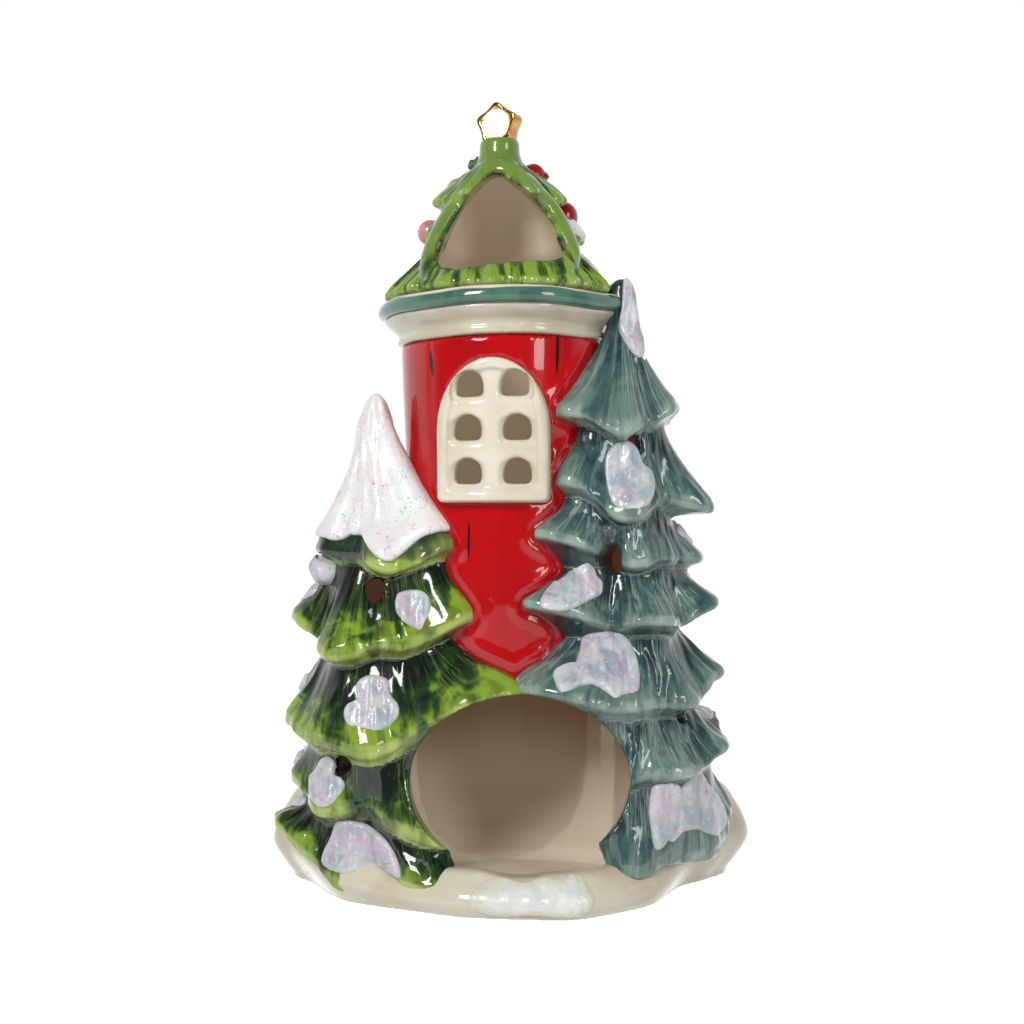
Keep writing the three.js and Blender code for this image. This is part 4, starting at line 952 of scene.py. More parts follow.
@dataclass(frozen=True)
class PineGlaze:
    """Pine green brushed on along the needles, darker towards the recesses and lighter on the boughs.

    The way down a skirt and the nearness of a bough's middle set how light it is, and brush marks break
    that up: partly the glaze's own brushed tones, partly painted shade towards each neck and painted
    light on the boughs' middles. The underside of each lip is painted dark, a painted shade, and above
    shaded_z, under the snow hat, painted shade darkens it further. stroke is drawn along the folds, on
    their crests or between them. The "inside" attribute turns the colour to the bare clay of the hollow,
    which is painted browner above hollow_z and in the trunks, a painted shade, and glows faintly there,
    a painted light.
    """

    name: str
    dark: Colour
    body: Colour
    tip: Colour
    edge: Colour
    stroke: Colour
    stroke_share: float = 0.5
    on_crests: bool = False
    tip_from: float = 0.55
    marks: float = 0.9
    dark_to: float = 0.6
    veins: float = 0.0
    hollow_z: float = 0.066
    band: Colour | None = None
    daubs: float = 0.9
    shaded_z: float = 0.0

    def material(self) -> bpy.types.Material:
        """Makes the finish."""
        g = Graph.glaze(self.name)
        brush = g.attribute("brush").outputs["Vector"]
        down, crest, inside = (g.number(name) for name in ("down", "crest", "inside"))
        fine = g.noise(g.scaled(brush, 1.0, 1.0, 1.1), 1.0, 3.0, 0.6, 0.4)
        broad = g.noise(g.scaled(brush, 0.28, 0.28, 0.7), 1.0, 2.0, 0.5, 0.6)
        cloud = g.noise(g.place(), 70.0, 2.0, 0.5)
        daub = g.noise(g.place(), 170.0, 2.0, 0.5, 0.8)
        marks = fine + broad - 1.0
        # Partly the glaze's own tones, partly painted shade towards each neck and painted light on the
        # boughs' middles.
        light = down * 0.8 + crest * 0.42 - 0.2 + marks * self.marks
        light = light + (cloud - 0.5) * 0.7 + (daub - 0.5) * self.daubs
        # Painted shade under the snow hat: darker above shaded_z.
        if self.shaded_z:
            shade = g.step(g.axis("Z"), self.shaded_z - 0.003, self.shaded_z) * 0.5
            light = light - shade
        colour = g.mix(g.step(light, self.dark_to - 0.5, self.dark_to), self.dark, self.body)
        colour = g.mix(g.step(light, self.tip_from, self.tip_from + 0.38), colour, self.tip)
        line = g.number("line") * (0.5 if self.on_crests else -0.5)
        drawn = g.step(line + marks * 1.1, 0.18, 0.5) * g.step(down, 0.05, 0.3)
        colour = g.mix(drawn * self.stroke_share, colour, self.stroke)
        if self.veins:
            thread = abs(g.noise(g.scaled(brush, 1.0, 1.0, 0.62), 1.0, 2.0, 0.5, 1.2) - 0.5)
            thread = g.step(thread, 0.04, 0.01) * g.step(broad, 0.38, 0.6)
            colour = g.mix(thread * self.veins, colour, self.edge)
        rim = g.step(down, 0.9, 1.0) * g.step(broad, 0.42, 0.6) * g.step(crest, 0.1, 0.6)
        colour = g.mix(rim * 0.85, colour, self.edge)
        # Painted shade: the underside of each skirt, below its lip, turns dark.
        colour = g.mix(g.step(down, 1.12, 1.35) * 0.9, colour, self.dark)
        # Painted shade under the snow hat, in a darker green.
        if self.shaded_z:
            colour = g.mix(shade, colour, srgb(38, 66, 36))
        if self.band:
            smooth = g.mix(g.step(cloud, 0.35, 0.7), self.band, self.tip)
            colour = g.mix(g.number("band") * 0.85, colour, smooth)
        # Painted shade: the clay in the hollow is browner above hollow_z and in the trunks.
        trunk = g.step(abs(g.axis("X") - TOWER_X * MM), 0.0365, 0.038)
        brown = g.larger(g.step(g.axis("Z"), self.hollow_z - 0.004, self.hollow_z), trunk)
        colour = g.mix(inside, colour, g.mix(brown, CREAM_INSIDE, srgb(206, 152, 120)))
        # Painted light: the clay in the hollow glows faintly, where no lamp is.
        lit = inside * g.larger(g.step(g.axis("Z"), 0.062, 0.074), trunk) * (0.055 - brown * 0.02)
        return g.finish(
            colour, Normal=g.bump(fine, 0.16, 0.0008), Coat_Normal=g.bump(broad, 0.05, 0.0009),
            Emission_Color=srgb(206, 176, 146), Emission_Strength=lit, **g.gloss(),
        )


@dataclass(frozen=True)
class PooledGlaze:
    """One colour of glaze that pools a little deeper here and there, cream inside the hollow.

    deep is the colour where it pools; scuffs of the pale body show through where it is thin.
    """

    name: str
    colour: Colour
    deep: Colour
    pale: Colour
    patch: float = 60.0
    pale_share: float = 0.12

    def material(self) -> bpy.types.Material:
        """Makes the finish."""
        g = Graph.glaze(self.name)
        place = g.place()
        cloud = g.noise(place, self.patch, 3.0, 0.55, 0.3)
        colour = g.mix(g.step(cloud, 0.42, 0.66), self.colour, self.deep)
        thin = g.step(g.noise(place, self.patch * 3.1, 4.0, 0.6), 0.6, 0.74)
        colour = g.mix(thin * self.pale_share, colour, self.pale)
        colour = g.mix(g.number("inside"), colour, CREAM_INSIDE)
        wave = g.noise(place, 140.0, 1.0, 0.4)
        return g.finish(colour, Normal=g.bump(wave, 0.10, 0.0008), **g.gloss())


@dataclass(frozen=True)
class Stroke:
    """A black brush stroke on the wall, in millimetres, and its lean."""

    x: float
    z: float
    half_height: float
    half_width: float
    lean: float = 0.0

    def drawn(self, g: Graph, x: Sum, z: Sum) -> Sum:
        """How black the wall is: 1 inside an ellipse round the stroke's middle, 0 outside."""
        up = z - self.z * MM
        across = x - self.x * MM - up * self.lean
        out = abs(across / (self.half_width * MM)) ** 2.0 + abs(up / (self.half_height * MM)) ** 2.0
        return g.step(out, 1.3, 0.6)


@dataclass(frozen=True)
class TowerRed:
    """Red glaze over boards, with black brush strokes in some of the grooves, bare clay inside the hollow.

    The "pool" attribute says where the glaze ran together. Inside, from about 26 to 84 mm up, the clay
    is painted darker and browner, a painted shade; above about 70 mm it glows faintly, a painted light.
    """

    name: str = "tower_red_glaze"
    strokes: tuple[Stroke, ...] = (
        Stroke(-22.0, 143.0, 3.6, 0.5, -0.1), Stroke(11.7, 145.9, 6.2, 0.45, 0.03),
        Stroke(-11.9, 95.6, 5.2, 0.36, 0.02),
    )

    def material(self) -> bpy.types.Material:
        """Makes the finish."""
        g = Graph.glaze(self.name)
        place, inside = g.place(), g.number("inside")
        x, y, z = (g.axis(name) for name in "XYZ")
        along = g.noise(g.scaled(place, 1.0, 1.0, 0.12), 260.0, 3.0, 0.6)
        cloud = g.noise(place, 45.0, 2.0, 0.5)
        colour = g.mix(g.step(cloud, 0.4, 0.7), srgb(190, 2, 12), srgb(172, 0, 8))
        colour = g.mix(g.step(along, 0.55, 0.72) * 0.3, colour, srgb(146, 0, 8))
        colour = g.mix(g.number("pool") * 0.5, colour, srgb(128, 0, 8))
        black = self.strokes[0].drawn(g, x, z)
        for stroke in self.strokes[1:]:
            black = g.larger(black, stroke.drawn(g, x, z))
        colour = g.mix(black * g.step(y, 0.0, -0.002), colour, srgb(34, 12, 12))
        # Painted shade on the clay inside, strongest from 48 to 66 mm up.
        painted_shade_inside = g.step(z, 0.026, 0.048) * g.step(z, 0.084, 0.066)
        colour = g.mix(inside, colour, g.mix(painted_shade_inside * 0.8, CREAM_INSIDE, srgb(158, 128, 96)))
        # Painted light: the clay inside glows faintly above about 70 mm, where no lamp is.
        return g.finish(
            colour, Normal=g.bump(g.noise(place, 70.0, 1.0, 0.4), 0.08, 0.0012), Emission_Color=CREAM_INSIDE,
            Emission_Strength=inside * g.step(z, 0.07, 0.09) * 0.065, **g.gloss(0.7),
        )


@dataclass(frozen=True)
class GlitterSnow:
    """Raised white slip under pearly paint and glitter.

    tint is the pearl colour and warm where it turns pink; flakes are small cells, a few of them painted
    bright pink, green or pale blue: partly the glitter's own colours, partly painted glints.
    """

    name: str
    base: Colour
    tint: Colour
    warm: Colour
    flakes: float = 0.5
    roughness: float = 0.32
    rim: Colour = srgb(226, 226, 230)
    rim_share: float = 0.3

    def material(self) -> bpy.types.Material:
        """Makes the finish."""
        g = Graph.glaze(self.name)
        place = g.place()
        cloud = g.noise(place, 150.0, 3.0, 0.6, 0.5)
        blush = g.noise(place, 95.0, 2.0, 0.5, 0.2)
        colour = g.mix(g.step(cloud, 0.38, 0.62), self.base, self.tint)
        colour = g.mix(g.step(blush, 0.5, 0.68) * 0.8, colour, self.warm)
        colour = g.mix(g.number("rim") * self.rim_share, colour, self.rim)
        split = g.new("SeparateColor", Color=g.cells(place, 2300.0).outputs["Color"])
        pick, hue = (Sum(g, split.outputs[name]) for name in ("Red", "Green"))
        speck = g.step(pick, 0.85, 0.89) * g.step(g.noise(place, 170.0, 2.0, 0.6), 0.42, 0.6)
        patch = g.noise(place, 120.0, 1.0, 0.5)
        # Painted glints, partly the glitter's own colours: bright pink, green and pale blue flakes.
        shine = g.mix(g.step(patch, 0.53, 0.58), srgb(226, 128, 186), srgb(84, 224, 160))
        shine = g.mix(g.step(hue, 0.72, 0.8), shine, srgb(214, 220, 246))
        colour = g.mix(speck * self.flakes, colour, shine)
        grain = g.bump(Sum(g, g.cells(place, 1300.0).outputs["Distance"]), 0.25, 0.0003)
        rough = g.bump(g.noise(place, 420.0, 3.0, 0.6), 0.5, 0.0007, Normal=grain)
        return g.finish(
            colour, Normal=rough, Roughness=self.roughness, IOR=1.5, Coat_Weight=0.35, Coat_Roughness=0.12,
        )


@dataclass(frozen=True)
class Gilding:
    """Bright gold on the star's edges; its front face, by "face", is a painted white reflection."""

    name: str = "star_gold"

    def material(self) -> bpy.types.Material:
        """Makes the finish."""
        g = Graph.glaze(self.name)
        face = g.number("face")
        wear = g.noise(g.place(), 300.0, 3.0, 0.6)
        gold = g.mix(g.step(wear, 0.4, 0.65), srgb(214, 160, 74), srgb(166, 108, 40))
        # Painted reflection: the dished front face is near white and not metal.
        return g.finish(
            g.mix(face, gold, srgb(255, 252, 244)), Normal=g.bump(wear, 0.1, 0.0004), Metallic=1.0 - face,
            Roughness=0.16, Coat_Weight=0.5, Coat_Roughness=0.04,
        )


@dataclass(frozen=True)
class Dress:
    """A finish and the record's material slot that it fills."""

    finish: PineGlaze | PooledGlaze | TowerRed | GlitterSnow | Gilding
    slot: str

    @cached_property
    def material(self) -> bpy.types.Material:
        """The finish's material, which is made once."""
        return self.finish.material()

    def on(self, piece: Piece, node: str) -> None:
        """Dresses a finished piece and seats it on the frame in place of the CAD node that it stands for.

        Args:
            piece: The finished piece.
            node: The CAD node that it replaces.
        """
        piece.data.materials.clear()
        piece.data.materials.append(self.material)
        piece.data.shade_smooth()
        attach(piece, "root")
        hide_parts(node)
        log.info("%s: %d faces", piece.name, len(piece.data.polygons))


def pooled(name: str, slot: str, *colours: Colour, patch: float = 200.0, pale: float = 0.12) -> Dress:
    """A dress of pooled glaze; the colours are its own, where it is deep and where it is thin."""
    return Dress(PooledGlaze(name + "_glaze", *colours, patch, pale), slot)


GREEN = Dress(PineGlaze(
    "green_pine_glaze", srgb(12, 26, 20), srgb(42, 74, 32), srgb(134, 162, 52), srgb(178, 194, 104),
    srgb(16, 36, 24), 0.4, False, 0.58, 0.6, 0.74, 0.15, daubs=1.1, shaded_z=0.0925,
), "tree_green_glaze")
BLUE = Dress(PineGlaze(
    "blue_pine_glaze", srgb(28, 48, 54), srgb(62, 91, 92), srgb(102, 128, 119), srgb(152, 170, 158),
    srgb(112, 136, 130), 0.45, True, 0.6, 0.95, 0.6, 0.6,
), "tree_blue_glaze")
ROOF_GREEN = Dress(PineGlaze(
    "roof_pine_glaze", srgb(28, 56, 18), srgb(72, 108, 34), srgb(128, 158, 56), srgb(150, 176, 84),
    srgb(22, 48, 16), 0.85, False, 0.4, 1.6, 0.66, 0.3, 9.0, srgb(110, 140, 68),
), "roof_green_glaze")
CREAM = pooled(
    "cream", "cream_glaze", srgb(230, 222, 203), srgb(218, 208, 184), srgb(238, 234, 222),
    patch=60.0, pale=0.5,
)
# The cove's cream is the window's cream glaze painted darker: painted shade under the eave.
SHADED_COVE_CREAM = pooled(
    "cove_cream", "cream_glaze", srgb(208, 201, 180), srgb(192, 183, 158), srgb(222, 216, 200),
    patch=50.0, pale=0.5,
)
BANK_CREAM = pooled(
    "bank_cream", "cream_glaze", srgb(215, 208, 187), srgb(197, 185, 158), srgb(228, 225, 213),
    patch=40.0, pale=0.6,
)
TEAL = pooled(
    "eave_teal", "teal_glaze", srgb(80, 122, 103), srgb(58, 98, 84), srgb(126, 154, 136),
    patch=90.0, pale=0.5,
)
RED = Dress(TowerRed(), "red_glaze")
WHITE_SNOW = Dress(GlitterSnow(
    "white_snow", srgb(238, 237, 233), srgb(226, 228, 229), srgb(238, 226, 216), 0.8, 0.36,
), "snow_glitter")
SILL_SNOW = Dress(GlitterSnow(
    "sill_snow", srgb(234, 234, 230), srgb(222, 224, 222), srgb(228, 224, 214), 0.25, 0.3,
    srgb(217, 210, 190), 1.0,
), "snow_glitter")
PEARL_SNOW = Dress(GlitterSnow(
    "pearl_snow", srgb(202, 204, 207), srgb(156, 169, 178), srgb(200, 184, 198), 0.9,
), "snow_glitter")
FRUIT_RED = pooled("fruit_red", "fruit_red_glaze", srgb(178, 26, 30), srgb(130, 8, 16), srgb(214, 70, 66))
FRUIT_PINK = pooled(
    "fruit_pink", "fruit_pink_glaze", srgb(216, 156, 144), srgb(192, 120, 112), srgb(234, 200, 188),
)
FRUIT_PEACH = pooled(
    "fruit_peach", "fruit_peach_glaze", srgb(208, 182, 156), srgb(182, 146, 120), srgb(230, 214, 196),
)
LEAF = pooled("leaf", "roof_green_glaze", srgb(74, 116, 44), srgb(44, 84, 30), srgb(130, 156, 84))
DOOR_BROWN = pooled(
    "door_brown", "door_brown_glaze", srgb(122, 68, 34), srgb(82, 42, 20), srgb(160, 108, 66), patch=160.0,
)
GOLD = Dress(Gilding(), "gold_lustre")


def curve_through(keys: Array, share: Array, closed: bool = False) -> Array:
    """Points on a smooth curve that passes through its keys, a Catmull-Rom spline with evenly spaced knots.

    Between two keys b and c, with neighbours a and d, the point at t is
    (2b + (c - a)t + (2a - 5b + 4c - d)t^2 + (3b - a - 3c + d)t^3) / 2.

    Args:
        keys: Keys as (n, k).
        share: Shares of the way along, from 0 to 1.
        closed: Whether the last key leads back to the first.

    Returns:
        Points as share's shape with k values each.
    """
    count = len(keys) if closed else len(keys) - 1
    t = np.clip(np.asarray(share, float), 0, 1) * count
    start = np.minimum(t.astype(int), count - 1)
    t = (t - start)[..., None]
    near = [start + step for step in (-1, 0, 1, 2)]
    a, b, c, d = (keys[n % len(keys) if closed else np.clip(n, 0, count)] for n in near)
    return 0.5 * (2 * b + (c - a) * t + (2 * a - 5 * b + 4 * c - d) * t**2 + (3 * b - a - 3 * c + d) * t**3)


@dataclass(frozen=True)
class Drift:
    """Snow banked against a tree: its direction, how far round it goes, its rise and its undercut."""

    at: float
    spread: float
    rise: float
    undercut: float


@dataclass(frozen=True)
class Bank:
    """The bank of snow that everything stands on."""

    height: float = 10.0
    core_height: float = 11.0
    drifts: tuple[Drift, ...] = (Drift(14, 62, 15, 0.06), Drift(172, 60, 15, 0.04), Drift(-158, 70, 0, 0.015))
    outline: tuple[Point2, ...] = (
        (-67.5, 8), (-61.5, -6), (-52, -23.5), (-40.8, -32.5), (-23.5, -40.6), (-10.5, -46), (12, -48),
        (23, -44), (34, -35.5), (41.5, -26), (50, -11), (60, -1), (67.5, 11), (60, 29), (38, 39), (10, 44),
        (-20, 42), (-50, 32),
    )
    # Share of the outline, share of the height, share of the core's height, and how far a drift hollows it.
    rings: tuple[tuple[float, float, float, float], ...] = (
        (0.965, 0.0, 0, 1.0), (0.985, 0.1, 0, 0.75), (1.0, 0.34, 0, 0), (0.985, 0.56, 0, 0),
        (0.94, 0.78, 0, 0), (0.86, 1.06, 0, 0), (0.7, 1.0, 0.6, 0), (0.5, 1.0, 1, 0),
    )

    def point(self, along: Array, up: Array) -> Array:
        """Points on the bank: along is the share of its outline, up the share of the way over its rings.

        The outline is drawn in by the rings' share and raised by their height times the drifts' height.

        Args:
            along: Shares from 0 to 1 round the outline.
            up: Shares from 0 at the foot to 1 at the core.

        Returns:
            Points with a last axis of three.
        """
        edge = curve_through(np.array(self.outline, float), np.mod(along, 1.0), closed=True)
        angle = np.degrees(np.arctan2(edge[..., 1], edge[..., 0]))
        weights = [bough_weight(angle, d.at, d.spread) for d in self.drifts]
        height = self.height + sum(w * d.rise for w, d in zip(weights, self.drifts))
        undercut = sum(w * d.undercut for w, d in zip(weights, self.drifts))
        share, rise, core, hollow = np.moveaxis(curve_through(np.array(self.rings), up), -1, 0)
        z = mixed((rise + undercut * ease(share, 0.88, 0.93)) * height, self.core_height, np.clip(core, 0, 1))
        wave = 0.35 * ripple((along * 2 * np.pi, 5, 0.4), (along * 2 * np.pi, 11, 2.0)) * ease(up, 0.1, 0.4)
        reach = (share - hollow * undercut) * (1 + 0.004 * np.sin(along * 2 * np.pi * 9))
        return joined(edge[..., 0] * reach, edge[..., 1] * reach, np.maximum(z + wave, 0.0))

    def build(self, cavity: Cavity) -> Piece:
        """Makes the bank with the candle chamber sunk in it.

        Args:
            cavity: The hollow.

        Returns:
            The bank.
        """
        along, up = np.meshgrid(np.arange(420) / 420, np.linspace(0, 1, 60))
        grid = self.point(along, up)
        grid[0, :, 2] = 0.0
        piece = skin("snow_bank", grid)
        cut(piece, cavity.tools(0.15))
        glazed(piece, 0.7, 3)
        points = points_of(piece)
        points[:, 2] = np.where(points[:, 2] < 0.35, 0.0, points[:, 2])
        store(piece, "inside", 0.85 * (1 - ease(cavity.depth(points), 0.2, 0.9)))
        move_points(piece, points)
        return piece


def blob(width: float, height: float, waves: int = 3, phase: float = 0.0) -> tuple[Point2, ...]:
    """A roundish outline: an ellipse whose reach waves by an eighth."""
    turn = np.radians(around(14))
    reach = 1 + 0.12 * np.sin(waves * turn + phase)
    return tuple(zip(width / 2 * reach * np.cos(turn), height / 2 * reach * np.sin(turn)))


def pillow(
    name: str, place: Callable[[Array, Array], Array], outline: tuple[Point2, ...],
    thick: float, folds: float = 0.1, fade: float = 0.0,
) -> Piece:
    """A raised patch on a surface: slip with a rounded rim and a gently lumpy top, rooted below.

    A ring is the outline drawn in by a share, raised off the surface: up the quarter circle of the rim, then
    level over the top, with small waves and folds that run down it.

    Args:
        name: Name of the piece.
        place: Turns millimetres across and up into points on the surface.
        outline: Points of the outline, across and up from the middle.
        thick: Thickness in millimetres.
        folds: Height of the folds.
        fade: Share of the reach over which its colour fades out, at least as wide as the rounded rim.

    Returns:
        The patch, with its "rim" attribute.
    """
    line = curve_through(np.array(outline, float), np.arange(160) / 160, closed=True)
    mean = np.linalg.norm(line, axis=-1).mean()
    bend = min(0.5, 1.25 * thick / mean)
    quarter = np.radians(np.linspace(0, 90, 8))
    rounded, flat = 1 - bend * (1 - np.cos(quarter)), np.linspace(1 - bend, 0.02, 22)[1:]
    reaches = np.concatenate([[0.96, 0.99], rounded, flat])
    heights = np.concatenate([[-1.8, -0.5], thick * np.sin(quarter), np.full(21, thick)])
    right, above = (reaches[:, None] * line[:, axis] for axis in (0, 1))
    top = ease(heights, 0.4 * thick, thick)[:, None]
    bumps = 0.1 * ripple((right, 1.3, thick), (above, 1.1, 1.0), (right + above, 1.9, 2.0))
    waves = folds * ripple((right + 0.25 * above, 1.5, 0.4), (right - 0.1 * above, 2.9, 2.0))
    dome = 0.18 * thick * (1 - reaches[:, None] ** 2)
    lift = heights[:, None] + top * (bumps + waves + dome)
    near = 0.05
    across = place(right + near, above) - place(right - near, above)
    out = unit(np.cross(across, place(right, above + near) - place(right, above - near)))
    piece = skin(name, place(right, above) + out * lift[..., None])
    smoothed(piece, 2)
    rim = ease(reaches, 1 - max(1.5 * bend, fade), 1 - 0.3 * bend)
    rim = np.broadcast_to(rim[:, None], right.shape).ravel()
    store(piece, "rim", np.concatenate([rim, [1.0, 0.0]]))
    return piece


@dataclass(frozen=True)
class Placer:
    """Turns millimetres across and up into points on a form's skirt, about a patch's middle."""

    form: TieredForm
    number: int
    share: float
    angle: float

    def step(self, down: float, turn: float) -> float:
        """Distance on the skirt from the middle to a little further down or round."""
        ways = np.array([-1.0, 1.0])
        ends = self.form.point(self.number, self.share + down * ways, self.angle + turn * ways)
        return float(np.linalg.norm(ends[1] - ends[0]) / 2)

    @cached_property
    def scale(self) -> Point2:
        """Millimetres in the whole way down, and in one degree."""
        return self.step(0.05, 0.0) / 0.05, self.step(0.0, 1.0)

    def __call__(self, right: Array, above: Array) -> Array:
        """Points at millimetres right of and above the middle, along the skirt."""
        share, angle = self.share - above / self.scale[0], self.angle + right / self.scale[1]
        return self.form.point(self.number, share, angle)


@dataclass(frozen=True)
class FrontPlacer:
    """Turns millimetres across and up, as seen from the front, into points on a form's skirt."""

    form: TieredForm
    number: int
    middle: Point2

    def __call__(self, right: Array, above: Array) -> Array:
        """Points as seen at X and Z, each turned round the axis, step by step, until its X is right."""
        x, z = self.middle[0] + right, self.middle[1] + above
        angle = np.full(np.shape(x), -90.0)
        for _ in range(14):
            share = self.share(z, angle)
            here = self.form.point(self.number, share, angle)
            beside = self.form.point(self.number, share, angle + 1.0)
            step = np.clip((x - here[..., 0]) / np.maximum(beside[..., 0] - here[..., 0], 0.12), -12, 12)
            angle = np.clip(angle + 0.8 * step, -176, -4)
        return self.form.point(self.number, self.share(z, angle), angle)

    def share(self, z: Array, angle: Array) -> Array:
        """The share of the way down the skirt at a height and direction."""
        top, low = self.form.neck(self.number, angle)[1], self.form.edge(self.number, angle)["z"]
        return (top - z) / (top - low)


@dataclass(frozen=True)
class Patch:
    """A patch of snow on a skirt, which stands for a CAD node.

    middle is its X and Z for one that shows from the front, and its share and direction for another. A
    fellow is a second patch that belongs to the same node.
    """

    node: str
    skirt: int
    middle: Point2
    outline: tuple[Point2, ...]
    thick: float = 1.1
    folds: float = 0.17
    front: bool = True
    fellow: "Patch | None" = None

    def build(self, form: TieredForm) -> Piece:
        """Makes the patch on a form."""
        if self.front:
            place = FrontPlacer(form, self.skirt, self.middle)
        else:
            place = Placer(form, self.skirt, *self.middle)
        piece = tilted(pillow(self.node + "_slip", place, self.outline, self.thick, self.folds))
        if self.fellow:
            cut(piece, [self.fellow.build(form)], Cut.ONTO)
        return piece


def light_holes(form: TieredForm, holes: tuple[tuple[float, float, float, float], ...]) -> list[Piece]:
    """Tools for a tree's light holes, each given as its direction, place up the tree, width and height."""
    made = []
    for angle, z, width, height in holes:
        x, y, _ = form.at(np.array(0.0), np.array(z), np.array(0.0))
        made.append(rod("light_hole", (float(x), float(y), z), angle, width, height))
    return made


@dataclass(frozen=True)
class PineTree:
    """One pine tree: its casting and the snow on it."""

    name: str
    form: TieredForm
    holes: tuple[tuple[float, float, float, float], ...]
    patches: tuple[Patch, ...]

    def casting(self, cavity: Cavity) -> Piece:
        """The hollow tree, cut where the tower and the chamber are, with its light holes.

        Args:
            cavity: The hollow.

        Returns:
            The tree.
        """
        piece = skin(self.name, self.form.surface(9.0, 11.5, 420, 0.8))
        tools = cavity.tools(0.08) + light_holes(self.form, self.holes)
        heights = np.linspace(2, ROOF_FOOT_Z, 30)
        angle = np.arange(120) * 3.0
        radii = cavity.tower.radius(np.minimum(heights, TOWER_TOP_Z)) - 0.6
        tools.append(skin("tower_core", ring_stack(radii, heights, angle, (TOWER_X, 0.0))))
        cut(piece, tools)
        glazed(piece, 0.64, 4)
        points = points_of(piece)
        self.form.brushed(piece, points, 1.3)
        inner = 1 - ease(cavity.depth(points), 0.25, 0.8)
        store(piece, "inside", inner * (1 - ease(points[:, 2], 132.0, 136.0)))
        return tilted(piece)


@dataclass(frozen=True)
class SnowHat:
    """The snow over the green tree's tip and top skirt, with a thick wavy hem."""

    form: TieredForm
    thick: float = 1.5
    # Direction, spread and extra share of the hem's drips.
    drips: tuple[Point3, ...] = (
        (-76, 26, 0.08), (-150, 24, 0.05), (-36, 20, 0.03), (40, 26, 0.07), (110, 30, 0.06), (180, 24, 0.05),
    )

    def hem(self, angle: Array) -> Array:
        """Share of the skirt at which the hat ends, by direction."""
        return 0.9 + sum(extra * bough_weight(angle, at, spread) for at, spread, extra in self.drips)

    def build(self) -> Piece:
        """Makes the hat: rings from under the hem, round it and up the skirt to a closed tip.

        Folds run down it, deeper towards the hem, and the hem rounds like a bead.
        """
        angle = around(300)
        turns = np.radians(angle)
        hem = self.hem(angle)
        rings = []
        for turn in np.radians(np.linspace(-70, 60, 8)):
            share = hem + 0.035 * np.cos(turn) - 0.03
            lift = 0.9 * self.thick * (1 + np.sin(turn)) - 0.9 + 1.1 * (self.form.crest(0, angle) - 0.4)
            rings.append(self.form.point(0, share, angle) + (lift * self.form.normal(0, share, angle).T).T)
        for part in np.linspace(0.985, 0.0, 44):
            share = (hem - 0.03) * part
            folds = 0.28 * ease(share, 0.1, 0.8) * ripple((turns, 9, 0.6), (turns, 17, 1.3))
            lumps = 0.22 * ripple((turns, 6, 8 * part), (turns, 11, -13 * part))
            lumps = lumps + 1.25 * ease(share, -0.08, 0.14) * ease(share, 0.8, 0.4)
            swell = 1.1 * (self.form.crest(0, angle) - 0.4) * ease(part, 0.35, 0.85)
            body = 0.95 - 0.6 * (1 - ease(share, 0.0, 0.22)) + 0.25 * ease(part, 0.75, 0.97)
            lift = self.thick * body + folds + lumps + swell
            normal = self.form.normal(0, np.maximum(share, 0.03), angle)
            rings.append(self.form.point(0, share, angle) + lift[:, None] * normal)
        (low_radius, low_z), (_, tip_z) = self.form.top[-1], self.form.top[0]
        for turn in np.radians([25, 50, 75]):
            z = low_z + (tip_z + 0.9 * self.thick - low_z) * math.sin(turn)
            rings.append(self.form.at((low_radius + 0.35 * self.thick) * math.cos(turn), z, angle))
        piece = skin("green_tree_snow_cap", np.array(rings))
        smoothed(piece, 3)
        store(piece, "rim", ease(points_of(piece)[:, 2], 106.0, 92.0) * 0.6 + 0.2)
        return tilted(piece)


def arch_outline(width: float, height: float, sill: float, x: float, head: float, corner: float) -> Array:
    """An opening's outline: straight sides, round lower corners and a half-elliptic head.

    Args:
        width: Width.
        height: Height, of which head is the share above the spring.
        sill: Height of its lowest edge.
        x: Middle.
        head: Share of the height that is curved.
        corner: Radius of the lower corners.

    Returns:
        Points as (n, 2), anticlockwise.
    """
    spring = sill + height * (1 - head)
    turn = np.radians(np.linspace(0, 180, 49))
    top = joined(x + width / 2 * np.cos(turn), spring + height * head * np.sin(turn))
    quarter = np.radians(np.linspace(180, 270, 7))
    low = sill + corner * (1 + np.sin(quarter))
    left = joined(x - width / 2 + corner * (1 + np.cos(quarter)), low)
    right = joined(x + width / 2 - corner * (1 + np.cos(quarter)), low)[::-1]
    return np.concatenate([top, left, right])


def slab(name: str, outline: Array, near: float, far: float) -> Piece:
    """A closed slab drawn across and up, from near to far out towards -Y."""
    return skin(name, joined(outline[:, 0], np.array([[-near], [-far]]), outline[:, 1]))


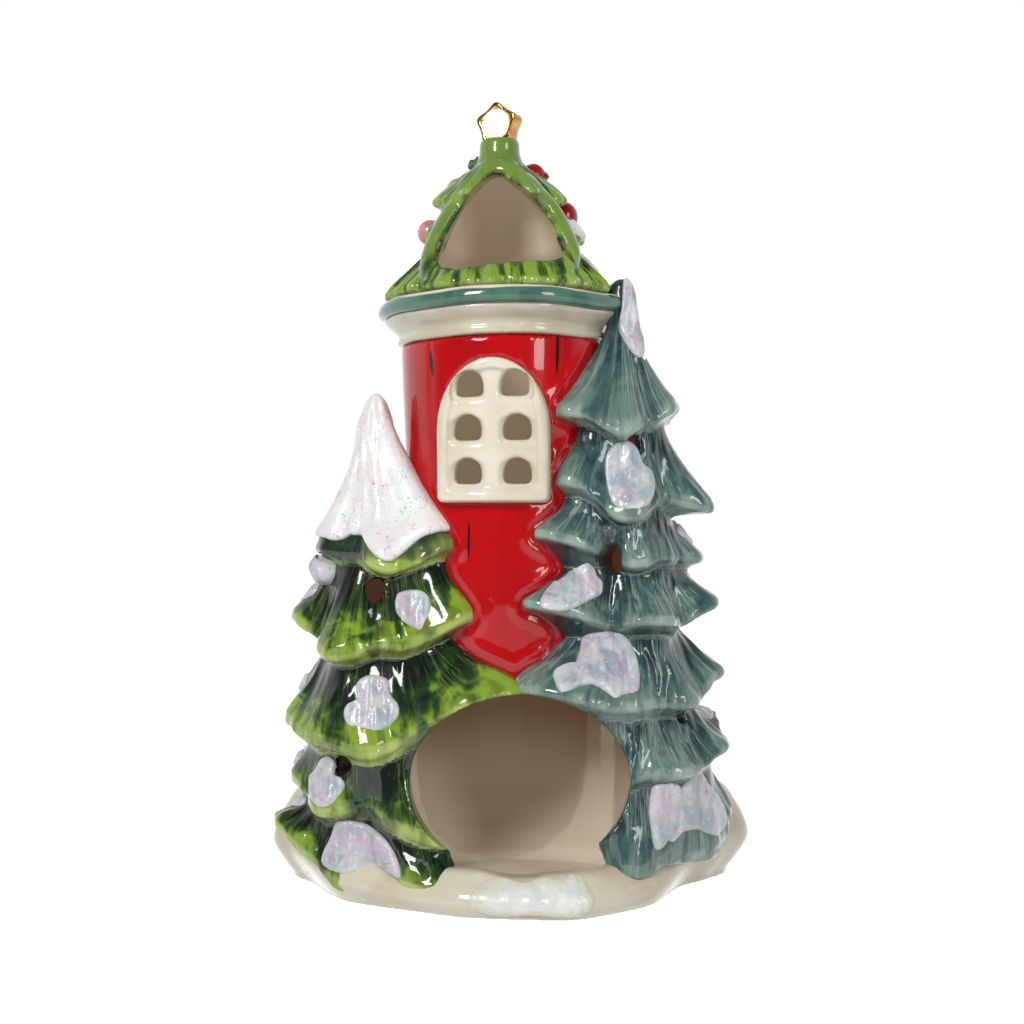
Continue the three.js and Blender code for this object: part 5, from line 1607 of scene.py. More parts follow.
@dataclass(frozen=True)
class Casement:
    """A pierced window or a door leaf, modelled flat and then laid on the tower's round face.

    Flat, X runs across, Z up and -Y outwards from the tower's face.
    """

    name: str
    width: float
    height: float
    sill: float
    facing: float
    proud: float
    tower: Tower

    def outline(self, inset: float, corner: float = 1.6) -> Array:
        """Its outline, drawn in on all sides by an inset."""
        width, height = self.width - 2 * inset, self.height - 2 * inset
        return arch_outline(width, height, self.sill + inset, 0, 0.5, corner)

    def laid(self, piece: Piece) -> Piece:
        """Moves the flat piece on to the tower, and leans it.

        A point at a across lies at the square root of (R + out)^2 - a^2 from the axis, along the facing,
        where R is the tower's radius at its height.
        """
        points = points_of(piece)
        across, out, z = points[:, 0], -points[:, 1], points[:, 2]
        forward = np.sqrt(np.maximum((self.tower.radius(z) + out) ** 2 - across**2, 1.0))
        x, y = turned_by(forward, across, self.facing)
        move_points(piece, leant(joined(x + TOWER_X, y, z)))
        return piece

    def window(self, rows: int, border: float = 4.1, mullion: float = 4.0, rail: float = 4.4) -> Piece:
        """A window with sunk panels, each pierced by a hole with a round head.

        Args:
            rows: Rows of two panels.
            border: Width of the frame's outer border.
            mullion: Width of the upright bar.
            rail: Height of a bar across.

        Returns:
            The window in its place.
        """
        piece = slab(self.name, self.outline(0.0), -4.0, self.proud)
        panel_width = (self.width - 2 * border - mullion) / 2
        panel_height = (self.height - 2 * border - (rows - 1) * rail) / rows
        tools = []
        for row in range(rows):
            for side in (-1, 1):
                x, z = side * (mullion + panel_width) / 2, self.sill + border + row * (panel_height + rail)
                head = row == rows - 1
                panel = arch_outline(panel_width, panel_height, z, x, 0.6 if head else 0.25, 1.2)
                tools.append(slab("panel", panel, self.proud - 1.3, self.proud + 4))
                pane = arch_outline(7.4, 6.9, z + 1, x - 0.6 * side if head else x, 0.55, 1.0)
                tools.append(slab("pane", pane, -8.0, self.proud + 4))
        roll = slab("roll", self.outline(0.4), 0.0, self.proud + 1.4)
        cut(roll, [slab("opening", self.outline(3.2), -1.0, self.proud + 4)])
        cut(piece, [roll], Cut.ONTO)
        cut(piece, tools)
        glazed(piece, 0.4, 40)
        return self.laid(piece)

    def casing(self, border: float = 3.4) -> Piece:
        """The door's casing, which stands on the wall."""
        piece = slab(self.name, self.outline(0.0), -0.5, self.proud)
        inner = arch_outline(self.width - 2 * border, self.height - border, self.sill - 3, 0, 0.5, 0.6)
        cut(piece, [slab("doorway", inner, -3.0, self.proud + 3)])
        glazed(piece, 0.4, 6)
        return self.laid(piece)

    def leaf(self) -> Piece:
        """The door's leaf, with four sunk boards and a rounded edge."""
        piece = slab(self.name, self.outline(0.0, 0.6), -0.5, self.proud)
        grooves = []
        for x in (-2.9, 0.0, 2.9):
            line = np.array([(x + 0.25, 0), (x + 0.25, 60), (x - 0.25, 60), (x - 0.25, 0)], float)
            grooves.append(slab("groove", line, self.proud - 0.5, self.proud + 2))
        cut(piece, grooves)
        glazed(piece, 0.3, 4)
        return self.laid(piece)


@dataclass(frozen=True)
class TowerHouse:
    """The red tower: its wall, cove, eave, windows and door."""

    tower: Tower = field(default_factory=Tower)

    def windows(self) -> tuple[Casement, Casement]:
        """The rear window, over the arch, and the front one, over the door."""
        rear = Casement("rear_window", 30.5, 38.6, 105.5, -95.5, 2.6, self.tower)
        front = Casement("front_window", 22.0, 27.0, 66.0, 90.0, 2.6, self.tower)
        return rear, front

    def wall(self, cavity: Cavity, beside: Array) -> Piece:
        """The wall of boards, with the glaze drawn up where it meets the trees.

        Args:
            cavity: The hollow.
            beside: Points of the trees, in millimetres, before the lean.

        Returns:
            The wall.
        """
        z = np.concatenate([[5.0], np.linspace(6, TOWER_TOP_Z - 0.9, 200), [TOWER_TOP_Z]])
        turns, heights = np.meshgrid(around(540), z)
        radius = self.tower.face(turns, heights) - 1.2 * (heights > TOWER_TOP_Z - 0.5)
        gap = nearest(by_tower(radius, turns, heights).reshape(-1, 3), beside).reshape(turns.shape)
        for _ in range(4):
            gap = (gap + np.roll(gap, 1, 1) + np.roll(gap, -1, 1)) / 3
            gap[1:-1] = (gap[:-2] + gap[1:-1] + gap[2:]) / 3
        bead = 0.5 * np.exp(-(((gap - 2.7) / 0.75) ** 2))
        radius = radius + bead + 0.7 * np.clip(1 - gap / 1.4, 0, 1) ** 2
        piece = skin("tower_boards", by_tower(radius, turns, heights))
        tools = cavity.tools(0.0)
        for window in self.windows():
            tools.append(slab("window_hole", window.outline(0.5), 5.0, 45.0))
            across, back, up = points_of(tools[-1]).T
            x, y = turned_by(-back, across, window.facing)
            move_points(tools[-1], joined(x + TOWER_X, y, up))
        cut(piece, tools)
        glazed(piece, 0.75, 3)
        points = points_of(piece)
        outer = np.hypot(points[:, 0] - TOWER_X, points[:, 1]) - self.tower.radius(points[:, 2])
        on_face = ease(outer, -1.4, -0.6)
        direction = np.degrees(np.arctan2(points[:, 1], points[:, 0] - TOWER_X))
        column = np.mod(direction * 1.5, 540).astype(int) % 540
        row = np.clip(np.searchsorted(z, points[:, 2]), 0, len(z) - 1)
        store(piece, "pool", np.clip(1 - gap[row, column] / 2.6, 0, 1) * on_face)
        store(piece, "inside", 1 - ease(cavity.depth(points), 0.3, 0.8))
        return tilted(piece)

    def turned(
        self, name: str, profile: Array, wobble: float, cavity: Cavity, line: float = 0.0,
    ) -> Piece:
        """A moulding round the tower: a smooth profile turned, in the slow waves of one made by hand.

        Args:
            name: Name of the piece.
            profile: Radii and heights of the outside, lowest first.
            wobble: Height of its waves, in millimetres.
            cavity: The hollow.
            line: Height above which the glaze leaves it bare.

        Returns:
            The moulding.
        """
        angle = np.arange(360.0)
        turn = np.radians(angle)
        curve = curve_through(profile, np.linspace(0, 1, 60))
        wave = wobble * ripple((turn, 3, 0.5), (turn, 5, 2.2), (turn, 8, 4.0))
        bore = TOWER_TOP_RADIUS - self.tower.wall
        rings = []
        middle = profile[:, 1].mean()
        for radius, z in curve:
            away = np.clip((radius - bore) / 4, 0, 1)
            sway = 1 + 0.3 * (z - middle) / (np.ptp(profile[:, 1]) + 0.1)
            rings.append(by_tower(radius, angle, z + wave * away * sway))
        for z in np.linspace(curve[-1, 1], curve[0, 1], 8):
            rings.append(by_tower(bore, angle, z))
        piece = put(name, *tube(np.array(rings)))
        placed = points_of(piece)
        bare = 1 - ease(cavity.depth(placed), 0.2, 0.7)
        if line > 0:
            turn = np.arctan2(placed[:, 1], placed[:, 0] - TOWER_X)
            above = placed[:, 2] - line - 0.35 * ripple((turn, 4, 1.0), (turn, 9, 0.0), (turn, 17, 2.0))
            bare = np.maximum(bare, ease(above, -0.2, 0.2))
        store(piece, "inside", bare)
        return tilted(piece)

    def cove(self, cavity: Cavity) -> Piece:
        """The cream cove under the eave, with a soft ridge half way up."""
        r, z = TOWER_TOP_RADIUS, TOWER_TOP_Z
        profile = np.array([
            (r - 3.9, z - 0.2), (r - 0.3, z - 0.3), (r + 0.9, z + 0.1), (r + 1.1, z + 1.2),
            (r + 0.8, z + 2.3), (r + 1.5, z + 3.4), (r + 2.9, z + 4.6), (r + 4.3, z + 6.0),
            (r + 4.6, z + 6.7), (r + 3.6, z + 7.2), (r - 3.9, z + 7.2),
        ])
        return self.turned("cream_cove", profile, 0.3, cavity)

    def eave(self, cavity: Cavity) -> Piece:
        """The teal roll between the cove and the roof."""
        edge, z = TOWER_TOP_RADIUS + EAVE_REACH, TOWER_TOP_Z + CORNICE_HEIGHT + 2 * SEAM
        profile = np.array([
            (edge - 8.5, z + 0.1), (edge - 2.4, z + 0.1), (edge - 0.9, z + 0.5), (edge - 0.1, z + 1.5),
            (edge, z + 2.4), (edge - 0.35, z + 3.5), (edge - 1.3, z + 4.4), (edge - 2.6, z + 4.8),
            (edge - 8.5, z + 4.8),
        ])
        return self.turned("teal_eave", profile, 0.34, cavity, z + 4.1)

    def knob(self, place: Point3 = (0.2, 30.3, 28.4), radius: float = 1.3) -> Piece:
        """The door's knob: a flattened ball on a short neck."""
        turn = np.radians(np.linspace(-88, 88, 24))
        out = np.concatenate([[-1.6, -1.0], radius * np.sin(turn) * 0.85])
        wide = np.concatenate([[0.55, 0.55], np.maximum(radius * np.cos(turn), 0.05)])
        wide[2:8] = np.maximum(wide[2:8], 0.55)
        turn, (x, y, z) = np.radians(around(48)), place
        wide, out = wide[:, None], out[:, None]
        return skin("door_knob", joined(x + wide * np.cos(turn), y + out, z + wide * np.sin(turn)))


def nearest(points: Array, others: Array, size: float = 6.0, chunk: int = 4000) -> Array:
    """Distance from each point to the nearest of every second other, found in a coarse grid of cells.

    Args:
        points: Points as (n, 3).
        others: Points as (m, 3).
        size: Side of a cell, in millimetres, and the greatest distance that is told.
        chunk: How many points are worked on at a time.

    Returns:
        Distances.
    """
    found = np.full(len(points), size)
    low = np.minimum(points.min(0), others.min(0)) - size
    shape = np.ceil((np.maximum(points.max(0), others.max(0)) - low) / size).astype(int) + 2
    key = np.ravel_multi_index(((others - low) / size).astype(int).T, shape)
    order = np.argsort(key, kind="stable")
    others, key = others[order], key[order]
    mine = np.ravel_multi_index(((points - low) / size).astype(int).T, shape)
    steps = np.array([(i, j, k) for i in (-1, 0, 1) for j in (-1, 0, 1) for k in (-1, 0, 1)])
    for here in np.unique(mine):
        rows = np.nonzero(mine == here)[0]
        cells = np.clip(np.array(np.unravel_index(here, shape)) + steps, 0, shape - 1)
        keys = np.ravel_multi_index(cells.T, shape)
        ends = zip(np.searchsorted(key, keys, "left"), np.searchsorted(key, keys, "right"))
        near = np.concatenate([others[first:last] for first, last in ends])
        for start in range(0, len(rows) if len(near) else 0, chunk):
            part = rows[start:start + chunk]
            gap = np.linalg.norm(points[part][:, None, :] - near[None, ::2, :], axis=-1).min(1)
            found[part] = np.minimum(gap, size)
    return found


@dataclass(frozen=True)
class Fruit:
    """A round fruit on the roof: its skirt, share of the way down, direction and radius.

    pointed is how far a point stands out on one side, as a share of the radius.
    """

    name: str
    node: str
    dress: Dress
    skirt: int
    share: float
    angle: float
    radius: float
    pointed: float = 0.0

    def build(self, form: TieredForm) -> Piece:
        """Makes the fruit: a ball pressed into the roof, whose radius swells a little by direction."""
        place = self.skirt, np.array([self.share]), np.array([self.angle])
        centre = form.point(*place)[0] + 0.5 * self.radius * form.normal(*place)[0]
        high, turn = np.radians(np.linspace(-89.5, 89.5, 48))[:, None], np.radians(around(64))
        way = joined(np.cos(high) * np.cos(turn), np.cos(high) * np.sin(turn), np.sin(high))
        lean = np.clip(way @ unit(np.array([0.93, -0.15, -0.05])), 0, 1)
        swell = 0.02 * np.sin(3 * turn + self.angle) * np.cos(high) + self.pointed * lean**26
        return tilted(skin(self.name, centre + self.radius * (1 + swell)[..., None] * way))


@dataclass(frozen=True)
class Roof:
    """The pine roof with its vent, the star and the leaves on it."""

    form: TieredForm = ROOF_FORM
    # The vent, from the tower's axis and the roof's foot, and the roof's radius behind its rim by height.
    vent: tuple[Point2, ...] = (
        (-1.6, 33.9), (-6.6, 30.3), (-12.8, 21.7), (-17.2, 11.5), (-14.6, 6.1), (1, 7.1), (15.4, 8.9),
        (14.6, 16.3), (10.9, 23.5), (3.6, 30.5),
    )
    rim_radii: tuple[Point2, ...] = ((0, 30.5), (8, 27.0), (16, 23.0), (24, 18.0), (32, 12.0), (38, 7.0))
    rim_width: float = 2.8
    rim_proud: float = 1.35
    star_turn: float = -25.0
    # Distance of the leaves' stalks from the axis.
    leaf_from: float = 3.7

    def vent_line(self, grow: float, steps: int = 200) -> Array:
        """The vent's outline, grown outwards, across and up."""
        line = curve_through(np.array(self.vent, float), np.arange(steps) / steps, closed=True)
        way = np.roll(line, -1, 0) - np.roll(line, 1, 0)
        side = unit(joined(way[:, 1], -way[:, 0]))
        inward = (side * (line.mean(0) - line)).sum(-1, keepdims=True) > 0
        return line + grow * np.where(inward, -side, side)

    def on_front(self, line: Array) -> Array:
        """Points on the roof's front behind a drawn line: y is -sqrt(R^2 - x^2) at each height."""
        radius = np.interp(line[:, 1], *np.array(self.rim_radii).T)
        y = -np.sqrt(np.maximum(radius**2 - line[:, 0] ** 2, 4.0))
        return joined(TOWER_X + line[:, 0], y, ROOF_FOOT_Z + line[:, 1])

    def rim(self) -> Piece:
        """The raised band round the vent: an oval section swept round its outline."""
        centre = self.on_front(self.vent_line(self.rim_width))
        out = unit(joined(centre[:, 0] - TOWER_X + 1.5, centre[:, 1], 0.0))
        out[:, 2] = 0.75
        way = unit(np.roll(centre, -1, 0) - np.roll(centre, 1, 0))
        side = np.cross(way, unit(out))
        out = np.cross(side, way)
        turn = np.radians(around(28))[None, :, None]
        wide = self.rim_width * (1 + 0.1 * np.sin(np.arange(len(centre)) * 0.19))[:, None, None]
        section = wide * np.cos(turn) * side[:, None, :] + self.rim_proud * np.sin(turn) * out[:, None, :]
        return put("vent_rim", *tube(centre[:, None, :] + section))

    def shell(self, cavity: Cavity) -> Piece:
        """The hollow roof with the vent and its rim.

        Args:
            cavity: The hollow.

        Returns:
            The roof.
        """
        piece = skin("pine_roof", self.form.surface(ROOF_FOOT_Z + 0.2, ROOF_FOOT_RADIUS - 2, 420, 0.7))
        cut(piece, [self.rim()], Cut.ONTO)
        vent = slab("vent", self.vent_line(0.0), 4.0, 60.0)
        move_points(vent, points_of(vent) + np.array([TOWER_X, 0, ROOF_FOOT_Z]))
        cut(piece, [cavity.bore_tool(), vent])
        glazed(piece, 0.5, 5)
        points = points_of(piece)
        self.form.brushed(piece, points, 1.9)
        store(piece, "inside", 1 - ease(cavity.depth(points), 0.3, 0.9))
        store(piece, "band", self.band(points))
        return tilted(piece)

    def band(self, points: Array) -> Array:
        """How near each point lies to the vent's rim, seen from the front, or to the neck."""
        line = self.vent_line(self.rim_width, 80) + np.array([TOWER_X, ROOF_FOOT_Z])
        gap = np.full(len(points), 99.0)
        for start in range(0, len(points), 20000):
            part = points[start:start + 20000, None, ::2] - line[None]
            gap[start:start + 20000] = np.linalg.norm(part, axis=-1).min(1)
        up = points[:, 2] - ROOF_FOOT_Z
        near = (1 - ease(gap, 1.2, 2.8)) * (points[:, 1] < 0) * ease(up, 8, 13)
        return np.maximum(near, ease(up, 34.5, 38.5))

    def star(self) -> Piece:
        """The star: a fat five-pointed slab with a dished face, turned to the left.

        Its reach from the middle is 5.55 + 0.62 cos 5t + 0.08 cos 10t, with t from the upper point.
        """
        turn = np.radians(around(200))
        radius = 5.55 + 0.62 * np.cos(5 * turn) + 0.08 * np.cos(10 * turn)
        outline = joined(-radius * np.sin(turn), radius * np.cos(turn))
        piece = slab("gilt_star", outline, -2.7, 2.7)
        cut(piece, [slab("dish", outline * 0.78, 2.35, 4.0)])
        glazed(piece, 0.24, 22)
        across, back, up = points_of(piece).T
        store(piece, "face", (1 - ease(np.hypot(across, up), 4.1, 4.5)) * (back < -1.6))
        x, y = turned_by(across, back, self.star_turn)
        z = up + ROOF_FOOT_Z + ROOF_HEIGHT + 5.6 * math.sin(math.radians(54)) - 0.35
        move_points(piece, leant(joined(x + TOWER_X - ROOF_LEAN, y, z)))
        return piece

    def leaf(self, name: str, angle: float, length: float = 7.6, width: float = 4.8) -> Piece:
        """A small leaf against the roof's neck, thick in the middle and cupped, with a waved edge.

        Args:
            name: Name of the piece.
            angle: Direction in which it points.
            length: Its length.
            width: Its greatest width.

        Returns:
            The leaf.
        """
        along = np.linspace(-1, 1, 40)[:, None]
        turn = np.radians(around(40))
        wide = np.sqrt(np.maximum(1 - along**2, 1e-4)) * (1 + 0.12 * np.cos(9 * along))
        y = width / 2 * wide * np.cos(turn)
        z = 0.5 * (0.3 + wide) * np.sin(turn) + 0.12 * y**2 * 0.5 - 0.3 * along**2
        y, z = turned_by(y, z, 50)
        x, y = turned_by(length / 2 * (along + 1) + self.leaf_from, y, angle)
        return tilted(skin(name, joined(x + TOWER_X, y, z + ROOF_FOOT_Z + 39.3)))


class Studio:
    """A pale floor and backdrop, two soft window lights, and the camera."""

    WHITE: Colour = (1.0, 1.0, 1.0, 1.0)

    def seen_directly(self, g: Graph) -> Sum:
        """1 for camera, glossy and transmission rays, which see the white background, 0 for the others."""
        path = g.new("LightPath")
        camera, glossy, through = (
            Sum(g, path.outputs[name]) for name in ("Is Camera Ray", "Is Glossy Ray", "Is Transmission Ray")
        )
        return g.larger(g.larger(camera, glossy), through)

    def floor(self, half: float = 3.0, glow: float = 0.78) -> None:
        """A plain pale floor: white to the camera and in reflections, darker in the house's shadow.

        Args:
            half: Half its side, in metres.
            glow: What is added to the light on it where it is seen.
        """
        g = Graph.glaze("studio_floor")
        paper = g.new("BsdfDiffuse", Color=(0.8, 0.8, 0.8, 1.0))
        seen = g.new("AddShader")
        g.links.new(paper.outputs[0], seen.inputs[0])
        g.links.new(g.new("Emission", Color=self.WHITE, Strength=glow).outputs[0], seen.inputs[1])
        mesh = bpy.data.meshes.new("studio_floor")
        corners = [(-half, -half, 0.0), (half, -half, 0.0), (half, half, 0.0), (-half, half, 0.0)]
        mesh.from_pydata(corners, [], [(0, 1, 2, 3)])
        mesh.materials.append(self.switched(g, paper, seen))
        self.stand(bpy.data.objects.new("studio_floor", mesh))

    def switched(self, g: Graph, other: bpy.types.Node, seen: bpy.types.Node) -> bpy.types.ID:
        """Ends the nodes in one shader for rays that see the background, and in another for all others.

        Args:
            g: The nodes.
            other: The shader for all other rays.
            seen: The shader for rays that see the background.

        Returns:
            The material or the world.
        """
        mixer = g.new("MixShader", Fac=self.seen_directly(g))
        for number, shader in ((1, other), (2, seen)):
            g.links.new(shader.outputs[0], mixer.inputs[number])
        return g.end(mixer)

    def world(self, light: float = 0.34, room: float = 0.16) -> None:
        """A white world, plain as a light and white where the camera sees it.

        In reflections it is white behind the house, like the backdrop, and dim in front and overhead, like
        the room.

        Args:
            light: Its strength as a light.
            room: Its strength in reflections of what is in front of the house.
        """
        world = bpy.data.worlds.new("studio_world")
        bpy.context.scene.world = world
        g = Graph(world, "OutputWorld")
        way = g.new("TexCoord").outputs["Generated"]
        behind = g.span(g.part(way, "Y"), -0.25, 0.2, room, 1.0)
        overhead = g.span(g.part(way, "Z"), 0.35, 0.8, 1.0, 0.3)
        shown = g.larger(behind * overhead, Sum(g, g.new("LightPath").outputs["Is Camera Ray"]))
        plain_light = g.new("Background", Color=self.WHITE, Strength=light)
        self.switched(g, plain_light, g.new("Background", Color=self.WHITE, Strength=shown))

    def stand(self, thing: Piece, place: Point3 = (0.0, 0.0, 0.0)) -> Piece:
        """Puts a thing into the scene at a place in millimetres."""
        bpy.context.scene.collection.objects.link(thing)
        thing.location = Vector(place) * MM
        return thing

    def light(self, name: str, place: Point3, size: Point2, power: float) -> None:
        """An area light that faces the middle of the house.

        Args:
            name: Name of the light.
            place: Where it stands, in millimetres.
            size: Its width and height, in millimetres.
            power: Its power, in watts.
        """
        data = bpy.data.lights.new(name, "AREA")
        data.shape = "RECTANGLE"
        data.size, data.size_y = size[0] * MM, size[1] * MM
        data.energy = power
        lamp = self.stand(bpy.data.objects.new(name, data), place)
        lamp.rotation_euler = (Vector((0, 0, 100)) - Vector(place)).to_track_quat("-Z", "Y").to_euler()

    def camera(self, place: Point3 = (-0.4, -450.0, 103.1), lens: float = 56.2) -> None:
        """The camera, level in front of the arch, as the photograph was taken."""
        data = bpy.data.cameras.new("studio_camera")
        data.lens = lens
        data.sensor_width = 36.0
        camera = self.stand(bpy.data.objects.new("studio_camera", data), place)
        camera.rotation_euler = (math.pi / 2, 0.0, 0.0)
        bpy.context.scene.camera = camera

    def build(self) -> None:
        """Sets up everything round the house."""
        self.floor()
        self.world()
        self.light("window_light", (-300, -560, 480), (170, 250), 3.0)
        self.light("second_light", (420, -480, 300), (120, 300), 1.0)
        bpy.context.scene.view_settings.view_transform = "Standard"
        self.camera()


def plain(box: tuple[Vector, Vector]) -> list[list[float]]:
    """A box's lowest and highest corner as plain lists."""
    return [[float(c) for c in corner] for corner in box]


GREEN_TREE = PineTree("green_pine", GREEN_FORM, ((-88, 82, 5.2, 6.6), (-112, 36, 5.6, 5.4)), (
    Patch("green_tree_snow_1", 1, (-26.7, 77.1), (
        (-4.3, 3.9), (-1.4, 5.2), (1.9, 5.2), (4.4, 3.5), (4.8, 0.2), (3.6, -3.1), (2.4, -5.2), (-0.5, -4.4),
        (-3.4, -2.7), (-4.8, 0.2),
    )),
    Patch("green_tree_snow_2", 1, (0.6, 165), blob(13, 9), front=False, fellow=Patch(
        "green_tree_lump", 1, (0.13, 173), blob(13, 12, 3, 2.0), thick=5.0, front=False,
    )),
    Patch("green_tree_snow_3", 2, (-37.5, 52.6), (
        (-4.0, 1.1), (-4.2, 4.8), (-1.9, 6.9), (1.4, 7.1), (4.2, 6.0), (5.1, 2.3), (7.1, -0.1), (7.3, -3.0),
        (5.1, -5.9), (1.4, -7.1), (-2.8, -6.9), (-6.0, -5.5), (-7.3, -3.0), (-6.5, -0.5),
    )),
    Patch("green_tree_snow_4", 2, (0.6, 165), blob(14, 9, 3, 1.0), front=False),
    Patch("green_tree_snow_5", 3, (-49.6, 31.7), (
        (-5.2, -0.4), (-3.5, 2.1), (-1.9, 5.0), (0.2, 6.2), (1.9, 5.0), (2.1, 2.1), (4.4, 1.2), (5.2, -0.8),
        (3.5, -4.1), (0.6, -6.2), (-2.7, -6.2), (-4.8, -4.1),
    )),
    Patch("green_tree_snow_6", 3, (0.6, 168), blob(13, 8, 3, 2.0), front=False),
    Patch("green_tree_snow_7", 4, (-39.9, 14.7), (
        (-7.0, 6.6), (-4.9, 7.1), (-2.1, 6.6), (1.6, 5.7), (6.2, 2.9), (9.4, -1.2), (10.9, -6.2),
        (9.0, -6.0), (6.2, -3.7), (2.9, -4.9), (-0.4, -6.2), (-3.7, -7.1), (-7.8, -6.6), (-10.9, -4.9),
        (-10.7, -2.1), (-8.6, 2.1),
    ), 1.3, 0.22),
    Patch("green_tree_snow_8", 4, (0.3, 172), blob(14, 8, 3, 0.5), front=False),
))

BLUE_HOLES = ((-109, 90.5, 5.5, 8.0), (-82, 120, 3.4, 8.0), (-40, 49, 3.4, 6.5))

BLUE_TREE = PineTree("blue_pine", BLUE_FORM, BLUE_HOLES, (
    Patch("blue_tree_snow_1", 0, (33.1, 155.0), (
        (-3.2, 8.9), (-3.0, 10.8), (-1.9, 11.3), (-0.9, 9.6), (-0.5, 6.0), (-0.3, 2.4), (0.0, -1.8),
        (1.1, -6.1), (2.4, -9.5), (1.2, -10.6), (-1.0, -9.0), (-3.4, -5.3), (-4.5, -1.6), (-3.5, 4.0),
    )),
    Patch("blue_tree_snow_2", 1, (31.1, 112.9), (
        (-6.2, 5.4), (-3.7, 8.3), (-0.4, 9.1), (2.1, 7.1), (3.7, 2.9), (5.8, 0.8), (6.6, -2.9), (5.4, -7.1),
        (2.1, -9.1), (-2.1, -9.1), (-5.0, -7.5), (-6.2, -3.7), (-6.6, 0.8),
    )),
    Patch("blue_tree_snow_3", 2, (0.5, 20), blob(14, 9), front=False),
    Patch("blue_tree_snow_4", 3, (15.2, 83.6), (
        (-8.4, -4.7), (-6.1, -0.9), (-2.8, 1.1), (0.9, 4.0), (4.2, 6.1), (6.3, 4.4), (7.1, 2.4), (8.4, 0.7),
        (8.1, -2.2), (5.1, -3.8), (0.1, -5.9), (-4.4, -6.1),
    )),
    Patch("blue_tree_snow_5", 4, (21.7, 63.4), (
        (-11.4, -4.1), (-11.2, -2.1), (-8.6, -0.9), (-6.5, -1.3), (-4.5, 2.4), (-3.3, 6.5), (-0.4, 8.1),
        (3.3, 8.8), (6.9, 7.9), (9.4, 4.9), (11.0, 0.8), (11.4, -4.1), (10.6, -7.4), (7.7, -7.8),
        (4.9, -8.8), (3.3, -8.2), (1.6, -6.7), (-1.2, -5.3), (-3.7, -5.3), (-6.9, -6.4), (-9.8, -6.7),
    ), 1.4, 0.2),
    Patch("blue_tree_snow_6", 5, (0.5, 25), blob(13, 8, 3, 1.0), front=False),
    Patch("blue_tree_snow_7", 6, (46.5, 24.5), (
        (-10.1, 6.8), (-7.2, 8.2), (-4.2, 7.6), (-2.8, 6.0), (-0.5, 8.5), (2.0, 9.9), (3.7, 8.9), (5.7, 5.5),
        (8.7, 1.4), (11.0, -2.8), (11.2, -7.0), (8.7, -8.8), (5.3, -7.8), (2.8, -6.5), (-0.5, -6.1),
        (-3.0, -6.5), (-4.7, -8.6), (-6.7, -7.8), (-8.4, -9.9), (-9.7, -9.5), (-10.5, -5.3), (-11.2, 0.5),
    ), 1.3, 0.25),
    Patch("blue_tree_snow_8", 6, (0.5, 34), blob(14, 9, 3, 2.0), front=False),
))

ROOF_RUNS = (
    Patch("roof_snow_1", 1, (0.7, -8), blob(13, 7), 1.3, front=False),
    Patch("roof_snow_2", 1, (0.8, 146), blob(11, 5, 3, 1.0), 1.2, front=False),
    Patch("roof_snow_3", 2, (0.42, 4), blob(10, 11, 4), 1.3, front=False),
    Patch("roof_snow_4", 2, (0.2, 166), blob(11, 5, 3, 2.0), 1.2, front=False),
)

FRUITS = (
    Fruit("red_bauble", "roof_bauble_red_large", FRUIT_RED, 1, 0.16, 22, 4.6),
    Fruit("red_fruit", "roof_bauble_red_small", FRUIT_RED, 0, 0.36, 30, 3.68, 0.3),
    Fruit("pink_bauble", "roof_bauble_pink", FRUIT_PINK, 1, 0.66, 160, 3.68),
    Fruit("peach_bauble", "roof_bauble_peach", FRUIT_PEACH, 0, 0.66, 152, 3.68),
    Fruit("upper_berry", "roof_berry_upper", FRUIT_RED, 2, 0.66, 163, 1.84),
    Fruit("lower_berry", "roof_berry_lower", FRUIT_RED, 2, 0.9, 158, 1.84),
)


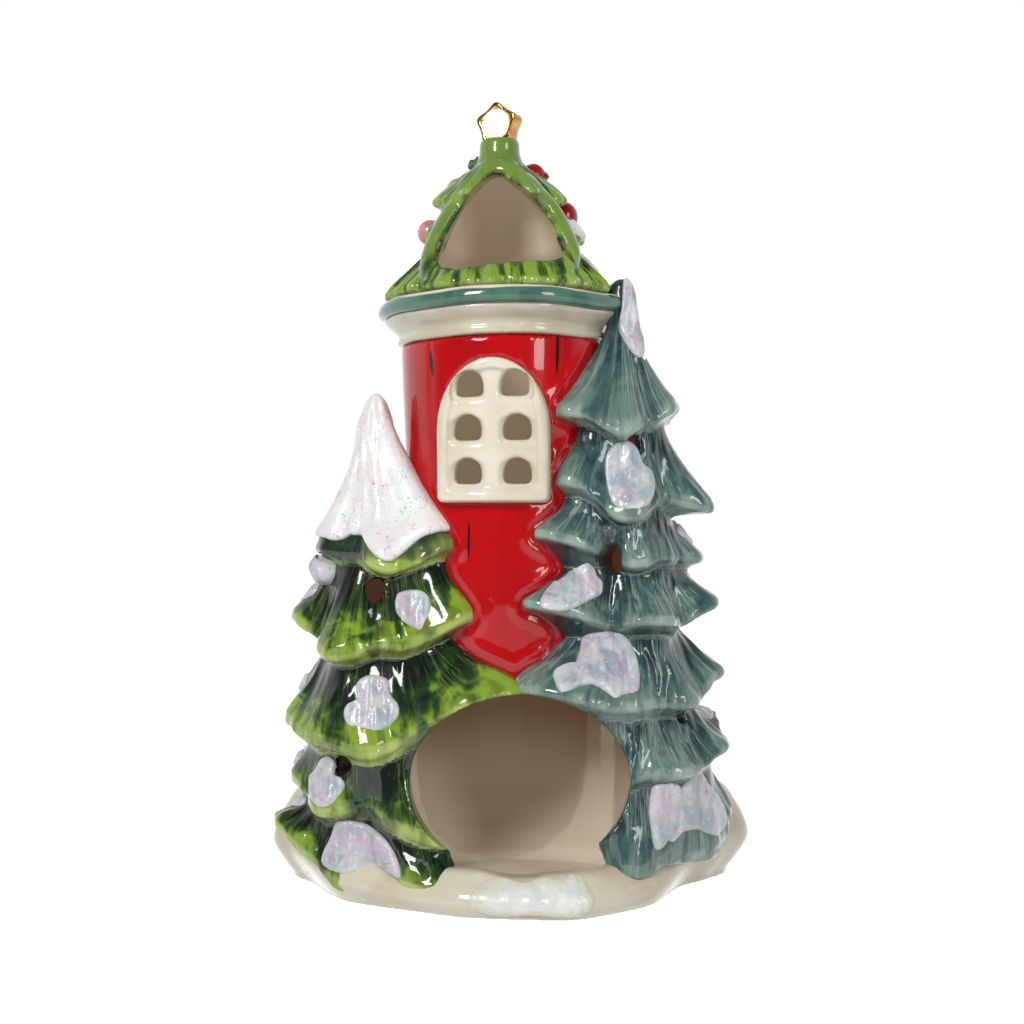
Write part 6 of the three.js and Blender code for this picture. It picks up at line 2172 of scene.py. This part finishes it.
class CandleHouse:
    """The whole house: builds, dresses and seats every piece."""

    def __init__(self) -> None:
        """Makes the hollow that every casting shares."""
        self.cavity = Cavity()
        self.house = TowerHouse()
        self.roof = Roof()

    def trees(self) -> Array:
        """Both trees and the snow on them.

        Returns:
            Points of the trees' castings.
        """
        beside = []
        for tree, dress, node in ((GREEN_TREE, GREEN, "green_tree"), (BLUE_TREE, BLUE, "blue_tree")):
            casting = tree.casting(self.cavity)
            beside.append(points_of(casting))
            dress.on(casting, node)
            for patch in tree.patches:
                PEARL_SNOW.on(patch.build(tree.form), patch.node)
        WHITE_SNOW.on(SnowHat(GREEN_FORM).build(), "green_tree_snow_hat")
        return np.concatenate(beside)

    def tower(self, beside: Array) -> None:
        """The tower with its windows, door and mouldings.

        Args:
            beside: Points of the trees.
        """
        house, tower = self.house, self.house.tower
        rear, front = house.windows()
        casing = Casement("door_casing", 19.0, 32.0, 14.0, 90.0, 2.4, tower)
        leaf = Casement("door_leaf", 11.6, 28.3, 14.0, 90.0, 1.2, tower)
        RED.on(house.wall(self.cavity, beside), "tower_wall")
        CREAM.on(rear.window(3), "rear_window_frame")
        CREAM.on(front.window(2), "front_window_frame")
        CREAM.on(casing.casing(), "front_door_casing")
        DOOR_BROWN.on(leaf.leaf(), "front_door")
        GOLD.on(house.knob(), "front_door_knob")
        SHADED_COVE_CREAM.on(house.cove(self.cavity), "cornice")
        TEAL.on(house.eave(self.cavity), "eave_roll")

    def bank(self) -> None:
        """The bank of snow and the drift of glitter on it."""
        BANK_CREAM.on(Bank().build(self.cavity), "snow_base")
        SILL_SNOW.on(self.drift(), "sill_glitter_drift")

    def drift(self) -> Piece:
        """A thin drift of glitter that follows the bank in front of the arch."""
        bank = Bank()

        def place(right: Array, above: Array) -> Array:
            """Points on the bank's front, right of and above the drift's middle."""
            return bank.point((5.82 + right / 20.5) / 18, 0.42 + above / 18)

        outline = (
            (-18, -2.0), (-16, 2.2), (-11, 4.4), (-5, 3.8), (0, 4.8), (6, 4.2), (12, 5.2), (18.4, 3.0),
            (18, -2.0), (11, -4.6), (5, -5.0), (-3, -4.2), (-10, -4.8), (-15, -4.0),
        )
        return pillow("sill_drift", place, outline, 0.26, 0.06, 0.45)

    def top(self) -> None:
        """The roof, the star, the fruit and the snow on them."""
        roof = self.roof
        ROOF_GREEN.on(roof.shell(self.cavity), "roof_shell")
        GOLD.on(roof.star(), "star_finial")
        for fruit in FRUITS:
            fruit.dress.on(fruit.build(roof.form), fruit.node)
        for side, angle in (("left", 150), ("right", 50)):
            LEAF.on(roof.leaf(f"{side}_leaf", angle), f"roof_holly_leaf_{side}")
        for patch in ROOF_RUNS:
            WHITE_SNOW.on(patch.build(roof.form), patch.node)

    def build(self) -> None:
        """Builds everything, from the bank up."""
        self.bank()
        self.tower(self.trees())
        self.top()


def main() -> None:
    """Builds the house on its frame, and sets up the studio."""
    CandleHouse().build()
    Studio().build()


if __name__ == "__main__":
    main()
